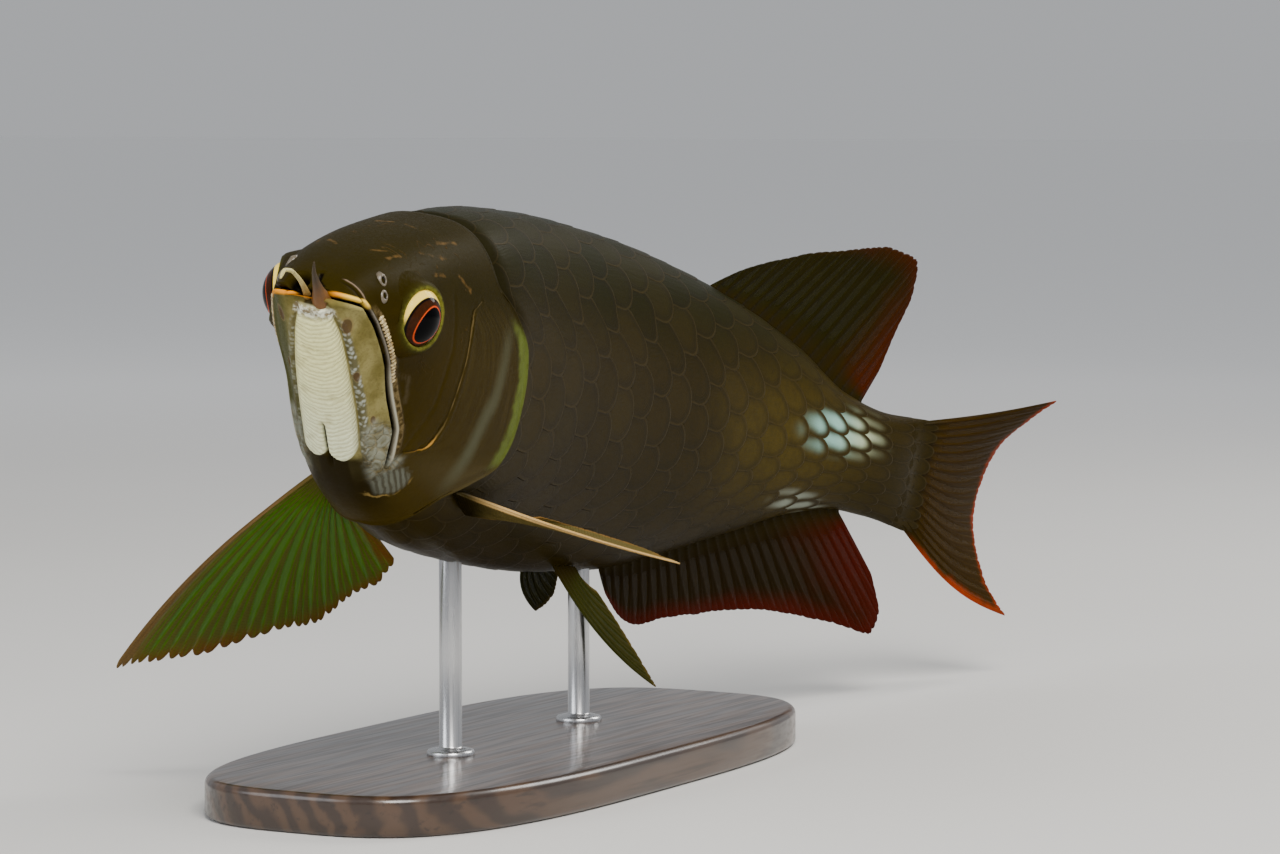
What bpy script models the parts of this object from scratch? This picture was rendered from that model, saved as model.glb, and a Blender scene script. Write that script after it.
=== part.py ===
"""Asian arowana, life size, held up by two rods on a flat base.

Units are metres with +Z up.  The fish is first drawn straight: s runs back
from the snout tip along the backbone, y to its left, z up, all as shares of
the body length.  It is then bent along the backbone and tilted as a whole.
"""
import math
from functools import lru_cache

import bmesh
import bpy
from mathutils import Euler, Matrix, Vector
from mathutils.bvhtree import BVHTree

MM = 0.001
BODY_LENGTH = 0.500
GAP = 0.3 * MM
GAP_S = GAP / BODY_LENGTH

# Whole-body attitude in degrees: heading, nose up, left side down.
HEADING = 12.5
NOSE_UP = 6.1
BANK = -10.3

# The backbone turns to the left from this station on.
BEND_FROM = 0.27
BEND_RATE = 1.023
BEND_EASE = 0.655

# Stations where one body node ends and the next begins.
WAIST = 0.46
HIND = 0.71

# Rows round the body, 0 at the back ridge and 1 at the keel.
TURNS = (0, .09, .18, .27, .35, .40, .45, .50, .55, .60, .65, .70, .75, .82, .91, 1)
COVER_TOP = 0.35
COVER_LOW = 0.75
COVER_THICK = 3.0 * MM
SHOULDER_STEP = 1.3 * MM
NECK_RING = 3.7 * MM

# Large scales: how many along each body node, how far their free edges stand
# up, and how steep the drop behind an edge is, as a share of one scale.
SCALES_FRONT = 6
SCALES_REAR = 7
SCALES_TAIL = 8
SCALE_LIFT = 0.65 * MM
SCALE_SINK = 0.25 * MM
SCALE_DROP = 0.03

# The eyes look a little forward, and the head swells round each of them.
EYE_S = 0.076
EYE_Z = 0.0345
EYE_RADIUS = 12.0 * MM
EYE_STANDS_OUT = 4.6 * MM
EYE_LEAN = 0.36
EYE_SWELL = 3.3 * MM
SWELL_REACH = 0.021
RIM_RADIUS = 10.7 * MM
RIM_THICK = 1.5 * MM

GAPE = ((0, .0365), (.02, .035), (.036, .025), (.051, .013), (.066, .001),
        (.088, -.021), (.108, -.040), (.116, -.053), (.125, -.066))
GAPE_FRONT = 1.9 * MM
GAPE_SIDE = 0.8 * MM

BASE_LENGTH = 0.300
BASE_WIDTH = 0.130
BASE_HEIGHT = 0.014
ROD_RADIUS = 4.0 * MM
ROD_STATIONS = (0.37, 0.57)
SNOUT_HEIGHT = 0.166


def curve(*stations):
    """Smooth curve through (place, value) stations that never overshoots."""
    xs = [p[0] for p in stations]
    ys = [p[1] for p in stations]
    steps = [b - a for a, b in zip(xs, xs[1:])]
    rises = [(b - a) / h for a, b, h in zip(ys, ys[1:], steps)]
    slopes = [0.0] * len(xs)
    for i in range(1, len(xs) - 1):
        if rises[i - 1] * rises[i] > 0:
            w1 = 2 * steps[i] + steps[i - 1]
            w2 = steps[i] + 2 * steps[i - 1]
            slopes[i] = (w1 + w2) / (w1 / rises[i - 1] + w2 / rises[i])
    slopes[0] = rises[0]
    slopes[-1] = rises[-1]

    def at(x):
        if x <= xs[0]:
            return ys[0]
        if x >= xs[-1]:
            return ys[-1]
        i = max(k for k in range(len(xs) - 1) if xs[k] <= x)
        h = steps[i]
        t = (x - xs[i]) / h
        return ((1 + 2 * t) * (1 - t) ** 2 * ys[i] + t * (1 - t) ** 2 * h * slopes[i]
                + t * t * (3 - 2 * t) * ys[i + 1] + t * t * (t - 1) * h * slopes[i + 1])
    return at


# Body profiles against s: back ridge, keel, half width, height of the widest
# row, squareness above and below it, and how far the flanks close downward.
BACK = curve((0, .037), (.006, .045), (.02, .054), (.05, .067), (.08, .077), (.12, .088),
             (.16, .097), (.2, .105), (.25, .112), (.3, .117), (.4, .121), (.5, .119),
             (.6, .111), (.7, .096), (.8, .072), (.885, .042), (.95, .033), (1, .034))
KEEL = curve((0, .033), (.006, .026), (.02, .012), (.05, -.016), (.08, -.043), (.105, -.066),
             (.13, -.084), (.16, -.099), (.2, -.111), (.26, -.122), (.35, -.130),
             (.45, -.134), (.58, -.127), (.65, -.114), (.75, -.088), (.85, -.060),
             (.9, -.053), (.95, -.055), (1, -.061))
WIDTH = curve((0, .014), (.006, .023), (.02, .0298), (.05, .0383), (.08, .044), (.12, .052),
              (.18, .059), (.25, .063), (.35, .062), (.45, .058), (.55, .051), (.65, .042),
              (.75, .031), (.85, .022), (.95, .014), (.98, .009), (1, .003))
WIDEST = curve((0, .032), (.08, .032), (.15, .015), (.25, 0), (.4, -.005), (.7, -.005),
               (1, -.012))
FULL_UP = curve((0, 2.6), (.1, 2.8), (.25, 2.6), (.5, 2.2), (1, 2.0))
FULL_LOW = curve((0, 3.2), (.1, 3.0), (.16, 2.5), (.25, 2.1), (.5, 1.8), (.8, 1.7), (1, 2))
CLOSING = curve((0, .25), (.1, .25), (.2, .1), (.3, 0), (1, 0))

# Edges of the gill cover against the turn round the body.
COVER_REAR = curve((0, .193), (.15, .195), (.31, .204), (.36, .235), (.43, .270), (.5, .279),
                   (.58, .281), (.64, .272), (.69, .240), (.76, .205), (.88, .188), (1, .183))
COVER_FRONT = curve((.33, .183), (.39, .158), (.6, .159), (.67, .152), (.73, .129), (.8, .127))


def bend(s):
    t = max(s - BEND_FROM, 0.0)
    return BEND_RATE * t - BEND_EASE * t * t


@lru_cache(maxsize=None)
def backbone(s):
    """Plan position of the backbone at s, in body lengths."""
    if s <= BEND_FROM:
        return -s, 0.0
    count = 24
    step = (s - BEND_FROM) / count
    x = -BEND_FROM
    y = 0.0
    for i in range(count + 1):
        share = step / 3 * (1 if i in (0, count) else 4 if i % 2 else 2)
        x -= share * math.cos(bend(BEND_FROM + i * step))
        y += share * math.sin(bend(BEND_FROM + i * step))
    return x, y


def place(p):
    """Straight-body point (s, y, z) to metres on the bent fish."""
    s, y, z = p
    x0, y0 = backbone(round(s, 7))
    b = bend(s)
    return Vector((x0 + y * math.sin(b), y0 + y * math.cos(b), z)) * BODY_LENGTH


def swell(s, z):
    """How far the head stands out round the eye, in body lengths."""
    away = (s - EYE_S) ** 2 + (z - EYE_Z) ** 2
    return EYE_SWELL / BODY_LENGTH * math.exp(-away / (2 * SWELL_REACH ** 2))


def skin(s, turn, depth=0.0, side=1):
    """Straight-body point on the skin, or depth metres below it."""
    c = math.cos(math.pi * turn)
    sn = math.sin(math.pi * turn)
    n = FULL_UP(s) if c > 0 else FULL_LOW(s)
    h = BACK(s) - WIDEST(s) if c > 0 else WIDEST(s) - KEEL(s)
    r = (abs(c) ** n + abs(sn) ** n) ** (-1 / n)
    y = WIDTH(s) * r * sn * (1 - CLOSING(s) * max(-r * c, 0))
    z = h * r * c
    k = 1 - depth / (BODY_LENGTH * math.hypot(y, z))
    z = WIDEST(s) + z * k
    return Vector((s, side * (y * k + sn * swell(s, z)), z))


def flank(s, z):
    """Half width of the body at station s and height z."""
    up = z > WIDEST(s)
    span = BACK(s) - WIDEST(s) if up else WIDEST(s) - KEEL(s)
    t = min(abs(z - WIDEST(s)) / span, 1.0)
    n = FULL_UP(s) if up else FULL_LOW(s)
    wide = (1 - t ** n) ** (1 / n)
    closed = 1 - (0 if up else CLOSING(s) * t)
    return WIDTH(s) * wide * closed + swell(s, z) * wide / math.hypot(wide, t)


def around(s_of_turn, depth=0.0):
    """One closed ring of skin points; the station may change with the turn."""
    left = [place(skin(s_of_turn(t), t, depth)) for t in TURNS]
    right = [place(skin(s_of_turn(t), t, depth, -1)) for t in TURNS[-2:0:-1]]
    return left + right


def make(name, points, faces):
    """Mesh object with its faces turned outward."""
    mesh = bpy.data.meshes.new(name)
    mesh.from_pydata([tuple(p) for p in points], [], faces)
    work = bmesh.new()
    work.from_mesh(mesh)
    bmesh.ops.recalc_face_normals(work, faces=work.faces)
    if work.calc_volume(signed=True) < 0:
        bmesh.ops.reverse_faces(work, faces=work.faces)
    work.to_mesh(mesh)
    work.free()
    obj = bpy.data.objects.new(name, mesh)
    bpy.context.scene.collection.objects.link(obj)
    return obj


def loft(name, rings, first, last):
    """Closed surface over rings, each end drawn together to a point."""
    n = len(rings[0])
    points = [p for ring in rings for p in ring] + [first, last]
    faces = []
    for i in range(len(rings) - 1):
        for j in range(n):
            a = i * n + j
            b = i * n + (j + 1) % n
            faces += [(a, b, b + n), (a, b + n, a + n)]
    end = (len(rings) - 1) * n
    for j in range(n):
        faces.append((j, (j + 1) % n, len(points) - 2))
        faces.append((end + j, end + (j + 1) % n, len(points) - 1))
    return make(name, points, faces)


def slab(name, front, back):
    """Closed sheet between two grids of points, split alike on both faces."""
    rows = len(front)
    cols = len(front[0])
    points = [p for row in front for p in row] + [p for row in back for p in row]
    shift = rows * cols
    faces = []
    for i in range(rows - 1):
        for j in range(cols - 1):
            a = i * cols + j
            for base in (a, a + shift):
                faces.append((base, base + 1, base + cols + 1))
                faces.append((base, base + cols + 1, base + cols))
    edge = [j for j in range(cols)]
    edge += [i * cols + cols - 1 for i in range(1, rows)]
    edge += [(rows - 1) * cols + j for j in range(cols - 2, -1, -1)]
    edge += [i * cols for i in range(rows - 2, 0, -1)]
    for a, b in zip(edge, edge[1:] + edge[:1]):
        faces += [(a, b, b + shift), (a, b + shift, a + shift)]
    return make(name, points, faces)


def tube(name, path, radii, sides=6):
    """Round cord along a path, with pointed ends."""
    rings = []
    normal = None
    for i, p in enumerate(path):
        ahead = (path[min(i + 1, len(path) - 1)] - path[max(i - 1, 0)]).normalized()
        if normal is None:
            normal = ahead.orthogonal().normalized()
        normal = (normal - ahead * normal.dot(ahead)).normalized()
        other = ahead.cross(normal)
        ring = []
        for j in range(sides):
            a = 2 * math.pi * j / sides
            ring.append(p + (normal * math.cos(a) + other * math.sin(a)) * radii[i])
        rings.append(ring)
    start = path[0] + (path[0] - path[1]).normalized() * radii[0] * 0.6
    end = path[-1] + (path[-1] - path[-2]).normalized() * radii[-1] * 0.6
    return loft(name, rings, start, end)


def hoop(name, centre, axis, radius, thick, around_count=18, sides=6):
    """Ring of round section round an axis."""
    axis = axis.normalized()
    u = axis.orthogonal().normalized()
    v = axis.cross(u)
    points = []
    faces = []
    for i in range(around_count):
        a = 2 * math.pi * i / around_count
        out = u * math.cos(a) + v * math.sin(a)
        for j in range(sides):
            b = 2 * math.pi * j / sides
            points.append(centre + out * (radius + thick * math.cos(b))
                          + axis * thick * math.sin(b))
            k = ((i + 1) % around_count) * sides
            faces.append((i * sides + j, i * sides + (j + 1) % sides,
                          k + (j + 1) % sides, k + j))
    return make(name, points, faces)


def ball(name, centre, axis, radius, around_count=18, bands=10):
    """Sphere whose poles lie on an axis."""
    axis = axis.normalized()
    u = axis.orthogonal().normalized()
    v = axis.cross(u)
    rings = []
    for i in range(1, bands):
        a = math.pi * i / bands
        rings.append([centre + axis * radius * math.cos(a)
                      + (u * math.cos(2 * math.pi * j / around_count)
                         + v * math.sin(2 * math.pi * j / around_count)) * radius * math.sin(a)
                      for j in range(around_count)])
    return loft(name, rings, centre + axis * radius, centre - axis * radius)


def keep_largest(obj):
    """Drop every closed surface of a mesh but the largest."""
    work = bmesh.new()
    work.from_mesh(obj.data)
    left = set(work.faces)
    best = []
    best_area = 0.0
    while left:
        stack = [left.pop()]
        found = []
        while stack:
            face = stack.pop()
            found.append(face)
            for edge in face.edges:
                for other in edge.link_faces:
                    if other in left:
                        left.remove(other)
                        stack.append(other)
        area = sum(face.calc_area() for face in found)
        if area > best_area:
            best, best_area = found, area
    keep = set(best)
    bmesh.ops.delete(work, geom=[f for f in work.faces if f not in keep], context="FACES")
    bmesh.ops.triangulate(work, faces=work.faces)
    work.to_mesh(obj.data)
    work.free()


def combine(obj, others, operation):
    """Boolean of a body with a group of closed solids, applied at once."""
    group = bpy.data.collections.new("group")
    bpy.context.scene.collection.children.link(group)
    for other in others:
        bpy.context.scene.collection.objects.unlink(other)
        group.objects.link(other)
        other.hide_render = True
        other.display_type = "WIRE"
    step = obj.modifiers.new("step", "BOOLEAN")
    step.operation = operation
    step.operand_type = "COLLECTION"
    step.collection = group
    step.solver = "EXACT"
    graph = bpy.context.evaluated_depsgraph_get()
    mesh = bpy.data.meshes.new_from_object(obj.evaluated_get(graph))
    obj.modifiers.clear()
    obj.data = mesh
    for other in others:
        bpy.data.objects.remove(other)
    bpy.data.collections.remove(group)
    keep_largest(obj)
    return obj


def copy_of(obj, name):
    twin = bpy.data.objects.new(name, obj.data.copy())
    bpy.context.scene.collection.objects.link(twin)
    return twin


def round_shade(obj, angle=38):
    """Smooth shading broken at real edges."""
    limit = math.cos(math.radians(angle))
    work = bmesh.new()
    work.from_mesh(obj.data)
    for face in work.faces:
        face.smooth = True
    for edge in work.edges:
        if len(edge.link_faces) == 2:
            a, b = edge.link_faces
            edge.smooth = a.normal.dot(b.normal) > limit
    work.to_mesh(obj.data)
    work.free()


def finish(obj, slot, colour, rough, metal=0.0):
    """Give a node its own material and smooth shading."""
    mat = bpy.data.materials.new(slot)
    mat.use_nodes = True
    shade = mat.node_tree.nodes["Principled BSDF"]
    shade.inputs["Base Color"].default_value = (*colour, 1)
    shade.inputs["Roughness"].default_value = rough
    shade.inputs["Metallic"].default_value = metal
    obj.data.materials.clear()
    obj.data.materials.append(mat)
    round_shade(obj)
    return obj


def gape_line(clearance):
    """The line of the mouth, moved up and back by clearance times its half width."""
    moved = []
    for i, (s, z) in enumerate(GAPE):
        s0, z0 = GAPE[max(i - 1, 0)]
        s1, z1 = GAPE[min(i + 1, len(GAPE) - 1)]
        length = math.hypot(s1 - s0, z1 - z0)
        share = min(s / 0.03, 1.0)
        half = (GAPE_FRONT * (1 - share) + GAPE_SIDE * share) / 2 / BODY_LENGTH
        moved.append((s + (z0 - z1) / length * half * clearance,
                      z + (s1 - s0) / length * half * clearance))
    return moved


def jaw_block(name, clearance):
    """Prism across the head below and ahead of the line of the mouth."""
    line = gape_line(clearance)
    heel = GAPE_SIDE / 2 / BODY_LENGTH * clearance
    outline = [(-.03, line[0][1])] + line + [(.119 + heel, -.095), (.117 + heel, -.14), (-.03, -.14)]
    n = len(outline)
    points = [place((s, side * .09, z)) for side in (1, -1) for s, z in outline]
    faces = [tuple(range(n)), tuple(range(2 * n - 1, n - 1, -1))]
    faces += [(i, (i + 1) % n, (i + 1) % n + n, i + n) for i in range(n)]
    return make(name, points, faces)


def lip(name, clearance, widths):
    """Ridge that follows the mouth from one corner round the snout to the other."""
    line = curve(*gape_line(clearance))
    left = []
    for s in (.121, .108, .092, .076, .06, .043, .026, .012, .005):
        left.append((s, flank(s, line(s)), line(s)))
    path = left + [(.0025, 0, line(.002))] + [(s, -y, z) for s, y, z in left[::-1]]
    thick = curve(*widths)
    return tube(name, [place(p) for p in path], [thick(p[0]) * MM for p in path])


def build_head():
    fronts = [0, .003, .006, .013, .022, .034, .046, .057, .068, .079, .092, .108, .125, .142]
    rings = [around(lambda t, s=s: s) for s in fronts]
    for share in (.36, .7, 1):
        rings.append(around(lambda t, g=share: .142 + (COVER_REAR(t) - .142) * g))
    rings.append(around(COVER_REAR, NECK_RING))
    head = loft("head", rings, place((0, 0, .035)), place((.2, 0, 0)))

    parts = [lip("upper_lip", 2.6, ((0, .8), (.03, 1.2), (.1, 1.3), (.125, .5))),
             lip("lower_lip", -2.6, ((0, .8), (.03, 1.0), (.1, .9), (.125, .4)))]
    sockets = []
    eyes = []
    pits = []
    recesses = []
    for side, name in ((1, "left"), (-1, "right")):
        axis = Vector((EYE_LEAN, side, 0)).normalized()
        skin_point = place((EYE_S, side * flank(EYE_S, EYE_Z), EYE_Z))
        centre = skin_point - axis * (EYE_RADIUS - EYE_STANDS_OUT)
        rim_centre = centre + axis * (math.sqrt(EYE_RADIUS ** 2 - (RIM_RADIUS - RIM_THICK / 2) ** 2))
        parts.append(hoop("rim", rim_centre - axis * 0.2 * MM, axis, RIM_RADIUS, RIM_THICK))
        sockets.append(ball("socket", centre, axis, EYE_RADIUS + GAP, 16, 9))
        eyes.append(ball("eye_" + name, centre, axis, EYE_RADIUS, 16, 9))
        for s, z, size in ((.044, .050, 1.7), (.030, .0445, 1.4)):
            spot = place((s, side * flank(s, z), z))
            out = Vector((.25, side, .75))
            parts.append(hoop("nostril_rim", spot, out, size * MM, 0.6 * MM, 10, 5))
            pits.append(ball("nostril_pit", spot, out, (size - 0.35) * MM, 10, 5))
        recesses.append(cover_plate("recess", side, 0, -3 * MM, COVER_THICK + GAP, .004))
    combine(head, parts, "UNION")
    jaw = copy_of(head, "lower_jaw")
    combine(jaw, [jaw_block("jaw_block", -1)], "INTERSECT")
    combine(head, [jaw_block("mouth_cut", 1)] + sockets + pits + recesses, "DIFFERENCE")
    return head, jaw, eyes


def cover_plate(name, side, inset, top, bottom, overrun):
    """Gill cover, or the hollow it lies in when it is drawn larger."""
    turns = [t for t in TURNS if COVER_TOP <= t <= COVER_LOW][::side]
    edge = inset / BODY_LENGTH
    upper = []
    lower = []
    for t in turns:
        near = t + (edge * 5 if t == COVER_TOP else -edge * 5 if t == COVER_LOW else 0)
        start = COVER_FRONT(near) + edge * 2
        stop = COVER_REAR(t) + overrun
        stations = [start + (stop - start) * k / 6 for k in range(7)]
        upper.append([place(skin(s, near, top, side)) for s in stations])
        lower.append([place(skin(s, near, bottom, side)) for s in stations])
    return slab(name, upper, lower)


def between(t, a, b):
    return a + (b - a) * t


def scale_station(g, t):
    """Station of lattice place g, in whole scales behind the gill edge."""
    first = COVER_REAR(t) + GAP_S + .002
    if g <= SCALES_FRONT:
        return between(g / SCALES_FRONT, first, WAIST)
    g -= SCALES_FRONT
    if g <= SCALES_REAR:
        return between(g / SCALES_REAR, WAIST, HIND)
    return between((g - SCALES_REAR) / SCALES_TAIL, HIND, .990)


def scale_height(s, t):
    """Share of the full relief; ridge, keel and the fin roots stay smooth."""
    if t < .05 or t > .85 or (s < .29 and .62 < t < .85):
        return 0.0
    return min(1.0, max(.35, (1 - s) / .3))


def scale_edge(m, top, shift=0.0):
    """Ring along the free edges of one row of scales, above or below the drop.

    Tips stand on every other row of the body; on the rows between, the edge
    runs in behind the tips of the scales ahead of it.
    """
    points = []
    count = 2 * (len(TURNS) - 1)
    for j in range(count):
        i = j if j < len(TURNS) else count - j
        side = 1 if j < len(TURNS) else -1
        t = TURNS[i]
        tip = (i + m) % 2 == 0
        g = m / 2 if tip else (m - 1) / 2 + 2 * SCALE_DROP
        g += 0 if top else SCALE_DROP
        s = scale_station(g, t) + shift
        rise = SCALE_LIFT * (1 if tip else .15) if top else -SCALE_SINK
        sink = SHOULDER_STEP * max(0.0, 1 - g / 2)
        points.append(place(skin(s, t, sink - rise * scale_height(s, t), side)))
    return points


def scaled_rings(first, last, shift=0.0):
    """Rings of one body node, from margin first to margin last of the lattice."""
    rings = []
    for m in range(first, last + 1):
        if m > first or first == 1:
            rings.append(scale_edge(m, True))
        if m < last:
            rings.append(scale_edge(m, False, shift if m == first else 0.0))
    return rings


def build_torso():
    waist = 2 * SCALES_FRONT
    hind = waist + 2 * SCALES_REAR
    rear_end = hind + 2 * SCALES_TAIL
    rim = [around(lambda t: COVER_REAR(t) + GAP_S, NECK_RING),
           around(lambda t: COVER_REAR(t) + GAP_S, SHOULDER_STEP)]
    rings = [ring[::-1] for ring in rim + scaled_rings(1, waist)]
    front = loft("torso_front", rings, place((.2 + GAP_S, 0, 0)), place((WAIST, 0, 0)))
    rear = loft("torso_rear", scaled_rings(waist, hind), place((WAIST + 2 * GAP_S, 0, 0)),
                place((HIND, 0, 0)))
    rings = scaled_rings(hind, rear_end)
    rings.append(around(lambda t: 1))
    tail = loft("tail", rings, place((HIND + 2 * GAP_S, 0, 0)), place((1, 0, -.012)))
    return front, rear, tail


def ray_fin(name, middle, rays, rows, crest, valley, seat=None, ridge=False):
    """Membrane with a raised ray on every other column.

    middle(t, f) is the mid surface in metres, t across the fin and f from
    root to tip; crest and valley are thicknesses at root and tip.  seat, a
    surface, draws the root row on to it, one gap away.  On a ridge both
    faces take their seat from the middle of the fin.
    """
    cols = 2 * rays + 1
    search = (.8 if ridge else 4) * MM
    front = []
    back = []
    for i in range(rows + 1):
        row_a = []
        row_b = []
        for j in range(cols):
            t = j / (cols - 1)
            ray = j % 2 == 1
            f = i / rows
            reach = f * (1.0 if ray else 0.985)
            p = middle(t, reach)
            dt = middle(min(t + .01, 1), reach) - middle(max(t - .01, 0), reach)
            df = middle(t, reach + .01) - middle(t, max(reach - .01, 0))
            normal = dt.cross(df).normalized()
            root, tip = crest if ray else valley
            half = between(f, root, tip) * MM / 2
            pair = [p + normal * half, p - normal * half]
            if seat and i == 0:
                inward = (middle(t, 0) - middle(t, .12)).normalized()
                for k in range(2):
                    start = p if ridge else pair[k]
                    hit = seat.ray_cast(start - inward * .012, inward, .012 + search)
                    if hit[0]:
                        clear = GAP / max(abs(inward.dot(hit[1])), .35)
                        pair[k] += hit[0] - inward * clear - start
            row_a.append(pair[0])
            row_b.append(pair[1])
        front.append(row_a)
        back.append(row_b)
    return slab(name, front, back)


def surface_of(*objects):
    """One search tree over the faces of several nodes."""
    points = []
    faces = []
    for obj in objects:
        faces += [[i + len(points) for i in f.vertices] for f in obj.data.polygons]
        points += [v.co.copy() for v in obj.data.vertices]
    return BVHTree.FromPolygons(points, faces)


def build_median_fins(torso_rear, tail):
    """Dorsal, anal and caudal fins in the midplane of the body."""
    seat = surface_of(torso_rear, tail)
    tip_s = curve((0, .708), (.15, .752), (.4, .842), (.6, .902), (.75, .938), (.86, .945),
                  (.93, .934), (1, .922))
    tip_z = curve((0, .119), (.15, .132), (.4, .153), (.6, .163), (.75, .159), (.86, .130),
                  (.93, .098), (1, .064))

    def dorsal(t, f):
        s = between(t, .688, .908)
        root = (s, 0, BACK(s) + GAP_S)
        tip = (tip_s(t), .004 * math.sin(3 * t), tip_z(t))
        return place([between(f, a, b) for a, b in zip(root, tip)])

    anal_s = curve((0, .612), (.08, .642), (.15, .668), (.25, .702), (.4, .762), (.6, .85),
                   (.75, .925), (.86, .984), (.93, .994), (1, .972))
    anal_z = curve((0, -.142), (.08, -.159), (.15, -.164), (.25, -.157), (.4, -.148),
                   (.6, -.1405), (.75, -.143), (.86, -.148), (.93, -.131), (1, -.099))

    def anal(t, f):
        s = between(t, .598, .908)
        root = (s, 0, KEEL(s) - GAP_S)
        tip = (anal_s(t), -.004 * math.sin(3 * t), anal_z(t))
        return place([between(f, a, b) for a, b in zip(root, tip)])

    tail_s = curve((0, 1.188), (.1, 1.171), (.25, 1.152), (.5, 1.137), (.75, 1.146),
                   (.9, 1.163), (1, 1.180))
    tail_z = curve((0, .072), (.1, .055), (.25, .028), (.5, -.021), (.75, -.072),
                   (.9, -.103), (1, -.118))

    def caudal(t, f):
        cup = -.029 * (1 - (2 * t - 1) ** 2) * f ** 1.6
        root = (1 + GAP_S, 0, between(t, BACK(1) - .002, KEEL(1) + .002))
        tip = (tail_s(t), 0, tail_z(t))
        flare = -math.sin(math.pi * f) * between(t, .002, .012)
        s, y, z = [between(f, a, b) for a, b in zip(root, tip)]
        return place((s, y + cup, z + flare))

    return [ray_fin("dorsal_fin", dorsal, 18, 5, (1.5, .8), (.9, .5), seat, True),
            ray_fin("anal_fin", anal, 21, 5, (1.5, .8), (.9, .5), seat, True),
            ray_fin("caudal_fin", caudal, 17, 5, (2.0, .8), (1.2, .5))]


def paired(root_a, root_b, lead_tip, across, along, spread, bow, sag):
    """Mid surface of a side fin, drawn in the plane of its lead ray."""
    root_a = Vector(root_a)
    root_b = Vector(root_b)
    lead = (Vector(lead_tip) - root_a).normalized()
    wide = Vector(across)
    wide = (wide - lead * wide.dot(lead)).normalized()
    out = lead.cross(wide)

    def middle(t, f):
        root = root_a.lerp(root_b, t)
        tip = root_a + lead * along(t) + wide * spread(t)
        p = root.lerp(tip, f)
        arch = 4 * f * (1 - f)
        p = p - wide * bow * arch * (1 - t) + out * sag * arch
        return place(p)
    return middle


def build_side_fins(torso_front, torso_rear):
    fore = surface_of(torso_front)
    hind = surface_of(torso_rear)
    right = paired((.232, -.0505, -.076), (.258, -.047, -.094), (.341, -.226, -.257),
                   (.876, .117, -.467),
                   curve((0, .279), (.1, .268), (.22, .245), (.36, .215), (.5, .182),
                         (.65, .155), (.8, .125), (.9, .101), (1, .075)),
                   curve((0, 0), (.1, .011), (.22, .030), (.36, .058), (.5, .084),
                         (.65, .099), (.8, .108), (.9, .112), (1, .111)), .0065, .004)
    left = paired((.232, .0505, -.076), (.258, .047, -.090), (.460, .134, -.100),
                  (.95, -.30, 0),
                  curve((0, .247), (.25, .242), (.5, .222), (.75, .176), (1, .118)),
                  curve((0, 0), (.25, .020), (.5, .034), (.75, .035), (1, .025)), .004, .002)
    belly_left = paired((.506, .016, -.127), (.541, .0145, -.125), (.600, .069, -.2005),
                        (.998, 0, .057),
                        curve((0, .131), (.2, .122), (.4, .106), (.7, .078), (1, .048)),
                        curve((0, 0), (.2, .003), (.4, .009), (.7, .018), (1, .026)),
                        .010, .002)
    belly_right = paired((.514, -.016, -.127), (.546, -.0145, -.125), (.600, -.048, -.1675),
                         (.998, 0, .057),
                         curve((0, .099), (.3, .099), (.6, .090), (1, .062)),
                         curve((0, 0), (.3, .007), (.6, .018), (1, .026)), .005, .002)
    return [ray_fin("pectoral_fin_left", left, 14, 7, (2.4, .8), (1.6, .5), fore),
            ray_fin("pectoral_fin_right", right, 14, 7, (2.4, .8), (1.6, .5), fore),
            ray_fin("pelvic_fin_left", belly_left, 6, 6, (1.8, .8), (1.2, .5), hind),
            ray_fin("pelvic_fin_right", belly_right, 6, 6, (1.8, .8), (1.2, .5), hind)]


def build_barbels(jaw):
    """Two soft feelers that stand forward from the tip of the lower jaw."""
    seat = surface_of(jaw)
    paths = {
        "barbel_left": ((.004, .0045, .033), (-.006, .0055, .0375), (-.016, .0075, .043),
                        (-.024, .0095, .049), (-.030, .011, .0555)),
        "barbel_right": ((.004, -.0045, .033), (-.006, -.0050, .0375), (-.016, -.0060, .044),
                         (-.026, -.0068, .0475), (-.035, -.0070, .046), (-.042, -.0066, .040)),
    }
    made = []
    for name, stops in paths.items():
        path = [place(p) for p in stops]
        out = (path[1] - path[0]).normalized()
        hit = seat.ray_cast(path[0] + out * .03, -out)
        path[0] = hit[0] + out * (GAP * 2 + 0.5 * MM)
        fine = []
        for i in range(len(path) - 1):
            p0 = path[max(i - 1, 0)]
            p3 = path[min(i + 2, len(path) - 1)]
            for k in range(3):
                t = k / 3
                a = path[i]
                b = path[i + 1]
                fine.append(0.5 * (2 * a + (b - p0) * t + (2 * p0 - 5 * a + 4 * b - p3) * t * t
                                   + (3 * a - p0 - 3 * b + p3) * t ** 3))
        fine.append(path[-1])
        radii = [between(i / (len(fine) - 1), 1.15, .45) * MM for i in range(len(fine))]
        made.append(tube(name, fine, radii))
    return made


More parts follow.
